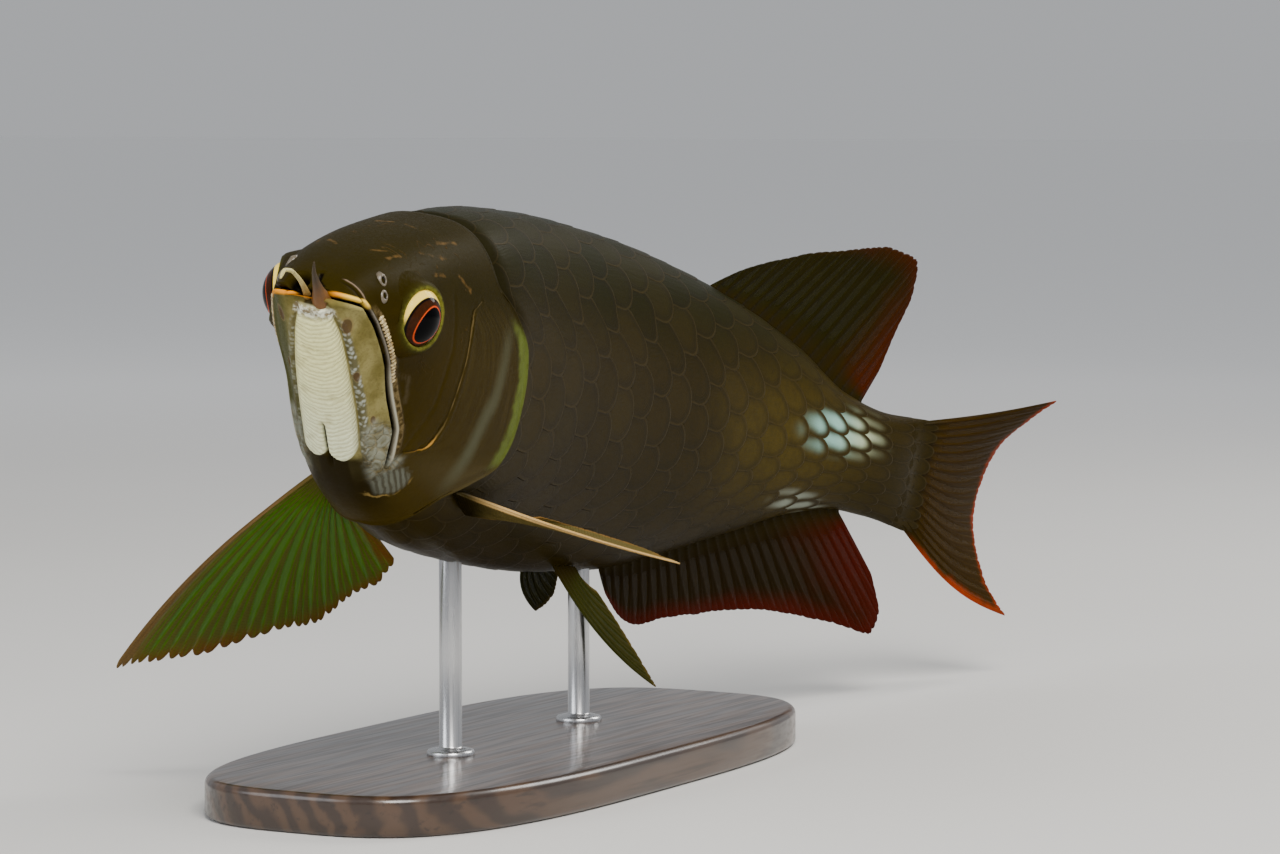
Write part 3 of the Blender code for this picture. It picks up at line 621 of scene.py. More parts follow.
def throat_layers(p, straight, grain, soft):
    """Cream strip under the jaw, crossed by fine curved wrinkles and split at its foot, with painted
    shade in the wrinkles, in the split and on the underside beside the strip.
    """
    s, y, z = p.parts(straight)
    gular, chin = p.values("gular chin")
    cream = p.ramp(gular, 1.01, .95) * chin
    wrinkle = p.math("SINE", (s + y * y * .030 + soft * 2.2 + grain * .6) * 4.6)
    # The strip is painted darker in its wrinkles' troughs: painted shade.
    p.lay(cream, p.over(p.mix(p.ramp(z, 2, -30), (.950, .940, .470), (.860, .900, .600)),
                        (p.ramp(wrinkle, -.2, -.95) * .4, (.400, .330, .130)),
                        (p.ramp(soft, .5, .75) * .35, (.420, .360, .150)),
                        (p.ramp(gular, .75, 1) * .5, (.240, .200, .090))))
    brow = p.ramp(s, 5.5, 3.0) * chin * p.ramp(gular, 1.35, 1.1)
    knots = p.noise(p.join(s * .7, y * .6, z * .7), 1, 2, .6)
    p.lay(brow, p.mix(p.ramp(knots, .40, .62), (.240, .190, .110), (.780, .780, .620)))
    # Painted shade: a dark line down the cleft that splits the strip's foot.
    p.lay(p.band(p.value("cleft"), 0, .75) * p.ramp(s, 38, 41) * chin, (.020, .017, .010))
    # Painted shade: the underside beside the strip, behind the chin, is painted near black.
    throat = p.ramp(s, 50.0, 53) * p.ramp(z, -27, -33) * p.ramp(s, 96, 62)
    throat = throat * p.ramp(gular, 1.7, 1.05) * p.ramp(cream, .5, 0)
    p.lay(throat * .92, (.014, .010, .003))
    return wrinkle * cream * .26, p.ramp(knots, .4, .6) * brow * .5


def fold_layers(p, straight, grain, soft):
    """Silvery skin folds at the jaw's rear end, and a fan of grey-blue plates behind them."""
    s, y, z = p.parts(straight)
    plates = p.value("plates")
    folds = p.noise(straight, .19, 3, .5, .5)
    facets = p.cells(p.join(s + folds * 5, y + folds * 4, z), .26, "DISTANCE_TO_EDGE")
    p.lay(plates * .8, p.over(p.mix(p.ramp(folds, .34, .62), (.075, .062, .030), (.240, .255, .210)),
                              (p.ramp(facets, .09, .02) * .4, (.200, .150, .065))))
    rim = ((s - 69.5) / 8.4) ** 2 + ((z + 37.0) / 5.6) ** 2 + (soft - .5) * 1.3 + (grain - .5) * .5
    fan = p.ramp(rim, 1.15, .45) * p.ramp(y, 9, 11.5)
    ribs = p.math("SINE", (s + z * 1.6 + soft * 2.4) * (2.2 - (z + 37) * .035))
    p.lay(fan * .8, p.mix(p.ramp(ribs, -.9, .6) * p.ramp(soft, .1, .6, .5, 1),
                          (.074, .072, .050), (.150, .160, .126)))
    gilt = p.band(rim, 1.12, .22) * p.ramp(z, -33, -37) * p.ramp(y, 5, 9)
    p.lay(gilt * p.ramp(folds, .35, .55) * p.ramp(s, 60, 66) * .6, (.360, .240, .070))
    return folds * plates * .5, fan * ribs * .14, p.ramp(facets, 0, .16) * plates * .5


def lip_layers(p, straight):
    """Lips: a bright orange rim, above the slit on the left and below it on the right."""
    gape, along, mouth, sideways = p.values("gape along mouth sideways")
    mottle = p.noise(straight, .55, 3, .6)
    left = p.ramp(sideways, 1.5, 3.5)
    fore = p.ramp(along, 13.5, 10.5) * mouth
    over = p.ramp(gape, .2, .45) * p.ramp(gape, 2.3, 1.5) * left * p.ramp(sideways, 5, 9)
    under = p.ramp(gape, -.15, -.45) * p.ramp(gape, -2.4, -1.7) * p.ramp(left, 1, 0)
    p.lay((over + under) * fore,
          p.mix(p.ramp(sideways, 8, 13), (.720, .260, .010), (.930, .600, .090)))
    rust = p.ramp(gape, -2.8, -.6) * p.ramp(gape, .3, -.1) * p.ramp(along, 9, 5)
    rust = rust * mouth * p.band(sideways, 2, 8)
    p.lay(rust * .8, (.200, .075, .012))
    # Painted highlight: a thin pale line along the ridge of the upper lip.
    thin = p.band(gape, 1.0, .5) * mouth * p.ramp(along, 11, 16)
    p.lay(thin * .8, (.240, .215, .180))
    ledge = p.band(gape, 1.3, .9) * mouth * p.ramp(along, 38, 46)
    p.lay(ledge * .85, (.440, .420, .320))
    strip = p.ramp(gape, 1.3, 1.8) * p.ramp(gape, 4.2, 3.4) * mouth * p.ramp(along, 12, 18)
    p.lay(strip * .8, p.mix(p.ramp(mottle, .4, .65), (.050, .032, .010), (.180, .130, .055)))
    crease, creased = p.values("crease creased")
    # Painted highlight on the ridge of the snout's crease, and painted shade in the groove beside it.
    p.lay(p.band(crease, .6, .6) * creased * .7, (.280, .200, .140))
    p.lay(p.band(crease, -.9, .7) * creased * .8, (.010, .007, .003))
    # Painted shade: near black in the shallow slit on the snout.
    p.lay(p.ramp(p.value("nick"), .3, .75), (.003, .002, .001))
    # Painted shade: near black inside the mouth's slit and its parted front.
    p.lay(p.ramp(p.value("slot"), .15, .7), (.002, .0015, .001))


def skin_paint():
    p = Paint("arowana_skin", .42, **DAMP)
    straight = p.vector("straight")
    s = p.parts(straight)[0]
    drift = p.noise(straight, .09, 4, .6)
    grain = p.noise(straight, 1.1, 3, .6)
    soft = p.noise(straight, .22, 2)
    p.tone = p.mix(p.value("head"), body_tone(p, straight), head_tone(p, straight))
    gill_cover_layers(p, straight, drift, grain, soft)
    worms = head_mark_layers(p, straight, grain, soft)
    grains = lower_jaw_layers(p, straight, drift, grain)
    wrinkles, knots = throat_layers(p, straight, grain, soft)
    folds, ribs, facets = fold_layers(p, straight, grain, soft)
    lip_layers(p, straight)
    # Skin that lies under the scales is only seen in the seams between them; it is painted a little
    # darker there, painted shade in the seams.
    p.lay(p.ramp(p.value("gill"), -.2, .5) * p.ramp(s, 492, 470) * .25, (.006, .0045, .0015))
    p.feed("Base Color", p.tone)
    p.feed("Roughness", p.ramp(grain, .3, .8, .34, .50))
    height = p.noise(straight, 2.4, 3, .7) * .12 + drift * .2
    p.bump(height + wrinkles + knots + folds + ribs + grains + facets + worms, .0010, .8)
    return p.material


def scale_paint():
    p = Paint("arowana_scales", .34, **dict(DAMP, IOR=1.12, Specular_IOR_Level=.35))
    straight = p.vector("straight")
    s, y, z = p.parts(straight)
    edge, lot, across, tuck = p.values("rim lot across tuck")
    p.tone = body_tone(p, straight)
    p.lay(lot * .2, (.048, .032, .006))
    p.lay(p.ramp(edge, .55, .9) * .4, (.009, .0065, .002))
    p.lay(p.band(edge, .97, .07) * .3, (.070, .048, .014))
    inner = p.ramp(edge, 1.05, .2)
    # Painted reflection: pale bluish patches on the inner parts of the scales of the left rear flank,
    # where light glances off them.
    sheen_patch = p.band(s + (lot - .5) * 6, 432, 48) * p.band(z + (lot - .5) * 2, 5, 13)
    sheen_patch = p.ramp(sheen_patch * p.ramp(y, 0, 2) * inner, .02, .75)
    blue = p.mix(p.ramp(s, 425, 455), (.330, .620, .540), (.540, .620, .400))
    p.lay(sheen_patch * .8, blue)
    # A second, lower patch of painted reflection on the left flank.
    low = p.band(s + (lot - .5) * 8, 414, 36) * p.band(z, -25, 8) * p.ramp(y, -4, 0)
    p.lay(p.ramp(low * inner, .1, .8) * .7, (.300, .340, .280))
    # Painted shade on the first scales, which tuck under the gill cover's edge; their finish is also
    # rougher.
    p.lay(tuck * .55, (.007, .0055, .0012))
    p.feed("Base Color", p.tone)
    rings = p.math("SINE", edge * 62)
    rays = p.math("SINE", across * 34)
    grain = p.noise(straight, 1.8, 3, .6)
    p.feed("Roughness", p.math("MINIMUM", p.ramp(grain, .3, .75, .28, .44) + tuck * .5, 1.0))
    p.bump(rings * .022 + rays * .02 + grain * .12, .0006, .6)
    return p.material


def fin_paint(name, web, ray, margin, spread, clear=.9, root=(.018, .012, .0015), tint=.8,
              lead=None, fade=0.0):
    """Thin membrane: rays on the web, a coloured margin and joints along the rays."""
    p = Paint(name, .45, **DAMP)
    out, side, ridge = p.values("out side ridge")
    straight = p.vector("straight")
    cloud = p.noise(straight, .06, 3, .6)
    fine = p.noise(straight, 1.6, 2)
    p.tone = p.mix(cloud, web, tuple(c * .6 for c in web))
    p.lay(p.ramp(ridge, .25, .9) * .8, ray)
    far = p.math("MAXIMUM", out - (1 - side) * fade, side)
    rim = p.ramp(far + (cloud - .5) * .16, 1 - spread, 1.02)
    p.lay(rim * tint, margin)
    if lead:
        p.lay(p.ramp(side, .12, .03), lead)
    p.lay(p.ramp(out, .22, 0), root)
    joints = p.math("SINE", p.value("length") * 3.6)
    p.lay(p.ramp(joints, .55, 1) * p.ramp(ridge, .5, 1) * .35, tuple(c * .35 for c in ray))
    p.lay(p.ramp(fine, .5, .8) * .25, tuple(c * .4 for c in web))
    p.feed("Base Color", p.tone)
    solid_share = p.ramp(ridge, .1, .7, clear, 1) + p.ramp(out, .25, .02, 0, .3)
    p.feed("Alpha", p.math("MINIMUM", solid_share, 1.0))
    p.feed("Roughness", p.ramp(fine, .3, .7, .38, .54))
    p.bump(fine * .25 + p.ramp(joints, .5, 1) * ridge * .3, .0005, .6)
    return p.material


def eye_paint():
    p = Paint("eye_wet", .05, Specular_IOR_Level=.05)
    angle, outer, lift, lead = p.values("angle outer lift lead")
    cloud = p.noise(p.place(), 900, 3, .7)
    p.tone = p.mix(p.ramp(angle, 26.8, 27.6), (.0006, .0006, .0008), (.520, .060, .012))
    p.lay(p.ramp(angle, 28.2, 30.5), p.mix(cloud, (.010, .004, .001),
                                                       (.046, .013, .004)))
    p.lay(p.ramp(outer, 38.5, 40.5), (.003, .002, .002))
    # The yellow rim is the eye's own colour; it is painted dark olive toward the bottom and rear,
    # painted shade on the side away from the light.
    bright = p.ramp(lift + lead * .45, -.05, .5)
    rim_and_shade = p.mix(bright, (.070, .080, .016), (.850, .620, .110))
    p.lay(p.ramp(outer, 43.0, 44.6), p.mix(p.ramp(cloud, .55, .8) * .3, rim_and_shade,
                                                       (.200, .090, .020)))
    p.feed("Base Color", p.tone)
    return p.material


def lid_paint():
    p = Paint("eye_lid", .42, **DAMP)
    ring = p.value("ring")
    straight = p.vector("straight")
    drift = p.noise(straight, .6, 3, .6)
    p.tone = p.mix(p.ramp(ring + (drift - .5) * .2, .06, .30), (.150, .150, .022),
                 (.030, .026, .004))
    p.lay(p.ramp(ring, .22, .55), head_tone(p, straight))
    p.lay(p.ramp(drift, .45, .7) * .25, (.022, .014, .005))
    p.feed("Base Color", p.tone)
    p.bump(drift, .0005, .5)
    return p.material


def soft_paint(name, low, high, rough=.4, size=400.0):
    """Plain wet flesh with a little mottling, painted near black as shade inside its openings."""
    p = Paint(name, rough, coat=.4, Coat_Roughness=.2)
    cloud = p.noise(p.place(), size, 3, .6)
    p.tone = p.mix(cloud, low, high)
    p.feed("Base Color", p.mix(p.value("pit_shade"), p.tone, (.003, .002, .001)))
    p.bump(p.noise(p.place(), size * 4, 2), .0004, .5)
    return p.material


def bead_paint():
    p = Paint("lip_bead", .3, coat=.5, Coat_Roughness=.15)
    cloud = p.noise(p.place(), 700, 2, .6)
    p.feed("Base Color", p.mix(p.ramp(cloud, .35, .65), (.230, .150, .050), (.560, .440, .210)))
    p.bump(cloud, .0003, .4)
    return p.material


def barbel_paint(name, root, tip):
    p = Paint(name, .42, coat=.1, Coat_Roughness=.25, Specular_IOR_Level=.2)
    out = p.value("out")
    cloud = p.noise(p.place(), 500, 3, .6)
    p.tone = p.mix(p.ramp(out, .15, .75), root, tip)
    p.feed("Base Color", p.mix(p.ramp(cloud, .45, .75) * .4, p.tone, tuple(c * .4 for c in root)))
    p.bump(cloud, .0004, .5)
    return p.material


def wood_paint():
    p = Paint("dark_stained_wood", .35, coat=.5, Coat_Roughness=.18)
    x, y, z = p.parts(p.place())
    warp = p.noise(p.join(x * 3, y * 12, z * 12), 3, 3, .6)
    rings = p.math("SINE", (y + warp * .03 + z * .5) * 620)
    pores = p.noise(p.join(x * 18, y * 420, z * 420), 1, 2, .6)
    p.tone = p.mix(p.ramp(rings, -.8, .9), (.026, .013, .007), (.062, .032, .016))
    p.lay(p.ramp(pores, .55, .75) * .6, (.012, .006, .004))
    p.feed("Base Color", p.tone)
    p.feed("Roughness", p.ramp(pores, .35, .7, .28, .42))
    p.bump(pores * .6 + rings * .15, .0004, .35)
    return p.material


def steel_paint():
    p = Paint("brushed_rod", .3, metal=1.0)
    x, y, z = p.parts(p.place())
    lines = p.noise(p.join(x * 900, y * 900, z * 9), 1, 3, .6)
    p.feed("Base Color", p.mix(lines, (.50, .50, .51), (.62, .62, .63)))
    p.feed("Roughness", p.ramp(lines, .3, .7, .22, .34))
    p.bump(lines, .0002, .15)
    return p.material


# The skin

def eye_frame(side):
    """Centre of an eyeball in metres, its axis, and the forward and upward ways across it."""
    axis = unit(np.array([EYE_LEAN, side, 0.0]))
    up = np.array([0, 0, 1.0])
    fore = unit(np.cross(axis, up) * side)
    seat = local(EYE_S, side * flank(EYE_S, EYE_Z), EYE_Z)
    centre = seat - axis * (EYE_RADIUS - EYE_STANDS_OUT) * MM
    return posed(centre), axis @ TURN.T, fore @ TURN.T, up @ TURN.T


# Short pores and sensory lines of the head, as places on its left side.
HEAD_MARKS = (((.0998, .0440, .0632), (.1184, .0461, .0648)),
              ((.2055, .0503, .0769), (.2070, .0503, .0765)),
              ((.1377, .0481, .0658), (.1530, .0526, .0576)),
              ((.1377, .0042, .0921), (.1337, .0140, .0906)),
              ((.0602, .0114, .0703), (.0695, .0202, .0719)),
              ((.1277, .0321, .0833), (.1537, .0350, .0870)),
              ((.0981, .0328, .0751), (.1261, .0406, .0754)),
              ((.0602, .0244, .0672), (.0745, .0281, .0704)))
CANALS = (((.0858, .0398, -.0047), (.0961, .0425, -.0048), (.1044, .0405, -.0214)),
          ((.0520, .0385, .0230), (.0635, .0396, .0107), (.0768, .0401, .0027)))
# A shallow slit on the snout, painted near black as shade.
SNOUT_GAP = (((.0125, .0015, .0500), (.0060, .0031, .0450), (.0035, .0100, .0400),
               (.0033, .0192, .0352)),)

# Rows of skin points across the mouth, in mm from its line, and how many lie above and below.
MOUTH_BAND = np.array([-7, -5.6, -4.5, -3.6, -3, -2.5, -2.05, -1.65, -1.3, -1.0, -.75, -.5, -.25,
                       0, .25, .5, .75, 1.0, 1.3, 1.65, 2.05, 2.5, 3, 3.6, 4.5, 5.6, 7])
ABOVE = 62
BELOW = 42


def row_turns(s):
    """Turns of the skin's points down one side at station s, gathered along the mouth."""
    fine = np.linspace(.002, .998, 700)
    near = min(s, MOUTH_END - .0001)
    _, y, z = skin(near, fine)
    order = z[::-1]
    gape = float(np.interp(GAPE_Z(near), order, fine[::-1]))
    ahead = min(near + .003, MOUTH_END)
    _, _, z2 = skin(ahead, fine)
    gape2 = float(np.interp(GAPE_Z(ahead), z2[::-1], fine[::-1]))
    per_turn = float(np.interp(gape, fine, np.hypot(np.gradient(y, fine), np.gradient(z, fine))))
    per_turn *= SPAN
    lean = abs(gape2 - gape) * per_turn / (max(ahead - near, 1e-4) * SPAN)
    offs = -MOUTH_BAND[::-1] * math.hypot(1, lean) / per_turn
    room = min(1, .62 * gape / -offs[0], .62 * (1 - gape) / offs[-1])
    offs = offs * room
    upper = np.linspace(0, gape + offs[0], ABOVE, endpoint=False)
    lower = np.linspace(gape + offs[-1], 1, BELOW + 1)[1:]
    gathered = np.concatenate([upper, gape + offs, lower])
    girth = np.concatenate([[0], np.cumsum(np.hypot(np.diff(y), np.diff(z)))])
    even = np.interp(np.linspace(0, girth[-1], len(gathered)), girth, fine)
    even[0], even[-1] = 0, 1
    share = float(step(s, .122, .2))
    return between(share, gathered, even)


def skin_grid():
    """Stations and signed turns of the whole skin."""
    head_end, body_start = .142, .25
    head = np.concatenate([[0, .0008, .0018], np.linspace(.003, head_end, 122)])
    rows = [(s, row_turns(s)) for s in head]
    for g in np.linspace(0, 1, 48)[1:-3]:
        t = row_turns(between(g, head_end, body_start))
        rows.append((between(g, head_end, COVER_REAR(t)), t))
    t = row_turns(body_start)
    # Rows in mm from the gill cover's free edge, close together across it.
    for off in (-2.6, -1.7, -1.0, -.5, -.15, 0, .25, .7, 1.3, 2.1, 3.2, 4.6):
        rear = COVER_REAR(t) + off / SPAN
        rows.append((rear, t))
    rows += [(rear + (1 - rear) * g, t) for g in np.linspace(0, 1, 132)[1:]]
    s = np.array([np.broadcast_to(stations, t.shape) for stations, t in rows])
    t = np.array([t for _, t in rows])
    return np.concatenate([s, s[:, -2:0:-1]], 1), np.concatenate([t, -t[:, -2:0:-1]], 1)


def skin_normals(s, base):
    """Outward ways at the skin's grid of points."""
    wrap = np.concatenate([base[:, -1:], base, base[:, :1]], 1)
    across = (wrap[:, 2:] - wrap[:, :-2]) / 2
    normal = unit(np.cross(across, np.gradient(base, axis=0)))
    middle = place(s, 0, WIDEST(s))
    normal *= np.sign(np.sum(normal * (base - middle), 2, keepdims=True) + 1e-12)
    normal[0] = TURN[:, 0]
    return normal


def mouth_relief(s, y, z, gape, along):
    """Lift in mm of the skin round the mouth, and what its paint reads there."""
    mouth = step(s, .1265, .121) * (s < .14)
    half = .32
    slot = step(half + .35 - np.abs(gape), -.15, .45) * mouth
    parted = step(1.25 - np.hypot((y + 4.3) / 3.0, (z * SPAN - 20.6) / 3.0), 0, .4) * (s < .03)
    slot = np.maximum(slot, parted * (gape > -.3))
    lift = -2.9 * slot - 1.4 * parted
    lift += .45 * hill(gape - half - .9, .6) * mouth * (1 - parted)
    lift += .60 * hill(gape - 2.9, 1.25) * mouth * step(along, 26, 33)
    lift -= .30 * hill(gape - 4.9, .8) * mouth * step(along, 26, 33)
    lift += .75 * hill(gape + half + 1.2, .9) * mouth
    lift += 1.2 * hill(np.hypot(y - .6, z * SPAN - 17.6), 3.2) * step(s, .02, .008)
    crease = line_distance(s, z, ((.006, .054), (.010, .0514), (.016, .0434), (.021, .037)))[0]
    creased = step(y, 7.5, 9) * step(s, .0225, .0195) * step(s, .006, .009)
    lift += (.35 * hill(crease - .5, .6) - .3 * hill(crease + .7, .6)) * creased
    return lift, {"mouth": mouth, "slot": slot, "crease": crease, "creased": creased}


def throat_relief(s, y, gape):
    """Lift in mm of the throat strip with its cleft and of the jaw beside it, and their masks."""
    centre = curve((0, 2.0), (.02, 1.7), (.045, 1.0), (.08, .2), (.1, -.3))(s)
    half_strip = curve((0, 4.8), (.006, 5.6), (.02, 7.6), (.045, 9.0), (.08, 9.7), (.1, 9.5))(s)
    off = np.abs(y - centre)
    gular = off / half_strip
    below = (gape < 0) & (s < .14)
    cleft = y + 1.0
    lobe = np.abs(cleft)
    foot = .0975 + .0062 * (1 - ((lobe - 4.8) / 4.8) ** 2)
    chin = below * step((foot - s) * SPAN, -.6, .7) * step(gape, -2.6, -4.2)
    strip = chin * step((1 - gular) * half_strip, -.5, .6)
    lift = strip * (1.0 + .7 * (1 - gular ** 2))
    lift -= .7 * hill((gular - 1.02) * half_strip, .8) * chin
    lift += .55 * hill((gular - 1.16) * half_strip, 1.0) * below * step(s, .125, .11)
    lift -= 1.5 * hill(lobe, .7) * step(s, .077, .083) * step(s, .112, .104) * below
    jaw = below * step(s, .128, .112) * step((off - half_strip * .5), 0, 1)
    lift -= .5 * hill((gular - 1.55) * half_strip, 2.4) * jaw * step(s, .01, .03)
    return lift, {"gular": gular, "chin": chin, "jaw": jaw, "cleft": cleft}


def pore_distance(s, y, z, gape):
    """Distance from the three pits of the lower jaw, in their own radii."""
    pore = np.full(s.shape, 9.0)
    for ps, pz, size in ((.0185, .0204, 1.75), (.052, -.0098, 1.1), (.088, -.036, .9)):
        dy = (np.abs(y) - flank(ps, pz)) * 1.2
        away = np.sqrt(dy ** 2 + ((z - pz) * .62) ** 2 + ((s - ps) * .5) ** 2)
        pore = np.where((gape < 0) & (s < .14), np.minimum(pore, away * SPAN / size), pore)
    return pore


def cheek_relief(s, z, turn, gone):
    """Lift in mm of the cheek's edge and the gill cover's, and the distance behind the first."""
    on_cheek = step(turn, .33, .37) * step(turn, .785, .765)
    cheek = np.where(on_cheek > .5, (s - COVER_FRONT(turn)) * SPAN, -20.0)
    lift = (-.55 * hill(cheek + .3, .8) + .4 * hill(cheek - 1.2, 1.2)) * on_cheek
    lift += (.5 * hill(gone + 1.2, 1.3) - 1.0 * hill(gone - .5, .55)) * step(turn, .27, .36)
    lift -= .12 * hill(gone - .5, .7) * step(turn, .36, .27)
    lift += .35 * hill(gone + 9, 5) * step(turn, .38, .5) * step(turn, .74, .66)
    second = line_distance(s, z, ((.128, .052), (.136, .02), (.138, -.02), (.128, -.048)))[0]
    return lift - .22 * hill(second, 1.2) * (s < .16), cheek


def fold_mask(s, y, z, gape):
    """Where the silvery folds lie, behind the jaw."""
    plates = step(s, .084, .092) * step(s, .140, .124) * step(z, -.032, -.040)
    plates = plates * step(z, -.080, -.070) * step(np.abs(y), 8, 12)
    return plates * np.maximum(step(gape, .3, -.7), step(z, -.053, -.060))


def eye_sockets(base, t):
    """Moves of the skin's points that let the skin dip behind the eyes."""
    shift = np.zeros(base.shape)
    for side in (1, -1):
        centre, axis = eye_frame(side)[:2]
        off = base - centre
        out = off @ axis
        radial = np.linalg.norm(off - out[..., None] * axis, axis=2) / MM
        dip = step(radial, SOCKET_RIM, SOCKET_FLOOR) * ((t * side > 0) & (out > 0))
        shift -= axis * (dip * SOCKET_DEPTH * MM)[..., None]
    return shift


def skin_shape():
    s, t = skin_grid()
    turn = np.abs(t)
    gone = (s - COVER_REAR(turn)) * SPAN
    sides = step(turn, .24, .36)
    fall = step((gone - between(sides, -5, .05)) / between(sides, 12, .85), 0, 1)
    sink = .90 * step(gone, 0, 2) * step(s, 1.06, .94) + SHOULDER_STEP * fall * step(gone, 34, 8)
    _, y, z = skin(s, t, sink)
    base = place(s, y, z)
    gape, along = line_distance(s, z, GAPE)
    along = along + GAPE[0][0] * SPAN
    left = y * SPAN

    mouth_lift, shades = mouth_relief(s, left, z, gape, along)
    throat_lift, throat = throat_relief(s, left, gape)
    cheek_lift, cheek = cheek_relief(s, z, turn, gone)
    pore = pore_distance(s, y, z, gape)
    straight = np.stack([s, y, z], -1) * SPAN
    mirrored = np.stack([s, np.abs(y), z], -1) * SPAN
    nick = hill(stroke_distance(straight, SNOUT_GAP), .75) * (s < .02) * (gape > .9)
    veil = line_distance(s, z, ((.2300, .050), (.2248, .036), (.2242, .0175), (.2212, -.006),
                                (.2125, -.0302), (.2100, -.0500), (.2000, -.0800)))[0]
    lift = mouth_lift + throat_lift - .45 * hill(pore, .8) + cheek_lift - .9 * nick
    shades.update(
        throat, straight=straight, head=step(gone, 1.0, -1.0), cheek=cheek, gill=gone, gape=gape,
        along=along, sideways=left, pore=pore, plates=fold_mask(s, left, z, gape),
        marks=stroke_distance(mirrored, HEAD_MARKS), canal=stroke_distance(mirrored, CANALS), nick=nick,
        veil=veil, cover=step(turn, .33, .40) * step(turn, .765, .66))
    points = base + skin_normals(s, base) * (lift * MM)[..., None] + eye_sockets(base, t)
    return tube("arowana_skin", points, shades, [place(.0006, 0, .0345), place(1.0, 0, -.012)])


# Eyes and small parts of the head

def eyeball(name, side):
    centre, axis, fore, up = eye_frame(side)
    polar = np.radians(np.concatenate([np.linspace(1.0, 62, 46), np.linspace(66, 176, 14)]))
    a, b = np.meshgrid(polar, circle(72), indexing="ij")
    swollen = 1 + .035 * hill(np.degrees(a), 38)
    ways = (np.cos(a)[..., None] * axis
            + np.sin(a)[..., None] * (np.cos(b)[..., None] * fore + np.sin(b)[..., None] * up))
    rings = centre + ways * (EYE_RADIUS - .15) * MM * swollen[..., None]
    # The pupil and iris are a little taller than wide and draw to a point in front.
    sight = unit(axis - up * .175 + fore * .03)
    off = ways - (ways @ sight)[..., None] * sight
    turn = np.arctan2(off @ up, off @ fore) - .38
    oval = np.hypot(np.cos(turn) * (1.18 + .08 * (np.cos(turn) > 0)), np.sin(turn) * .86)
    away = np.degrees(np.arccos(np.clip(ways @ sight, -1, 1)))
    outer = np.hypot(np.cos(turn) * 1.05, np.sin(turn) * .93)
    return tube(name, rings, {"angle": away * oval, "outer": away * outer,
                              "lift": np.sin(b), "lead": np.cos(b)})


def eye_lids(name, side):
    """Soft ring round the eye, from the ball out to the skin."""
    centre, axis, fore, up = eye_frame(side)
    cols = 96
    b = circle(cols)
    spread = np.cos(b)[:, None] * fore + np.sin(b)[:, None] * up

    def on_skin(reach, lift):
        rim_s = EYE_S - .0045 - np.cos(b) * reach / SPAN * .96
        rim_z = EYE_Z + np.sin(b) * reach / SPAN
        return place(rim_s, side * (flank(rim_s, rim_z) + lift / SPAN), rim_z)

    profile = [(9.0, 7.0), (9.35, 7.9), (9.9, 8.25), (10.5, 8.15), (11.1, 7.6)]
    rings = [centre + (spread * r + axis * h) * MM for r, h in profile]
    last = rings[-1]
    for g in (.12, .25, .4, .55, .7, .85, 1.0):
        ahead = last + (spread * 2.9 - axis * .9) * g * MM
        rings.append(ahead + (on_skin(SOCKET_RIM + 3.2 * g, .25 - .85 * g) - ahead) * step(g, 0, 1))
    rings += [rings[-1] - axis * 2.4 * MM, centre + (spread * 8.2 + axis * 5.0) * MM]
    rows = len(rings)
    points = np.concatenate(rings)
    faces = grid_faces(rows, cols, True)
    faces += [((rows - 1) * cols + j, (rows - 1) * cols + (j + 1) % cols, (j + 1) % cols, j)
              for j in range(cols)]
    straight = (points - FISH_AT) @ TURN / MM * [-1, 1, 1]
    shades = {"ring": np.repeat(np.linspace(0, 1, rows), cols), "straight": straight}
    return solid(name, points, faces, shades, grid_uv(rows, cols))


def nostrils(name, side):
    """Two short open tubes, one above the other, on one side of the snout."""
    cols = 28
    b = circle(cols)[:, None]
    points = []
    faces = []
    pit_shade = []
    for s, z, size, tall in ((.0405, .0530, 1.3, .9), (.0385, .0436, 1.15, .7)):
        seat = local(s, side * flank(s, z), z)
        out = unit(np.array([.45, side, .40]))
        u = unit(np.cross(out, [0, 0, 1.0]))
        ring = np.cos(b) * u + np.sin(b) * np.cross(out, u) * 1.25
        profile = ((1.9, -.9), (1.45, .0), (1.2, .45 * tall), (1.0, .66 * tall), (.82, .6 * tall),
                   (.7, .2), (.6, -.5), (.25, -.9))
        base = len(points)
        points += [p for r, h in profile for p in seat + (ring * r * size + out * h) * MM]
        points += [seat - out * 1.0 * MM, seat - out * 2.2 * MM]
        # Points deep in each tube are marked for painted shade.
        pit_shade += [step(.95, r, r + .2) * (h < .5 * tall) * (r < 1) for r, h in profile
                for _ in range(cols)] + [1, 0]
        faces += [tuple(base + i for i in f) for f in grid_faces(len(profile), cols, True)]
        n = base + len(profile) * cols
        faces += [(n - cols + j, n - cols + (j + 1) % cols, n) for j in range(cols)]
        faces += [(base + (j + 1) % cols, base + j, n + 1) for j in range(cols)]
    return solid(name, posed(np.array(points)), faces, {"pit_shade": np.array(pit_shade, float)})


def barbel(name, stops, radii):
    """Tapered feeler along a smooth line through stops; radii are in mm over its length."""
    rows, sides = 44, 14
    path = place(*smooth_path(stops, rows).T)
    share = np.linspace(0, 1, rows)
    rings = sweep(path, curve(*radii)(share) * MM, sides)
    return tube(name, rings, {"out": np.repeat(share[:, None], sides, 1)})


# Repeats made with geometry nodes

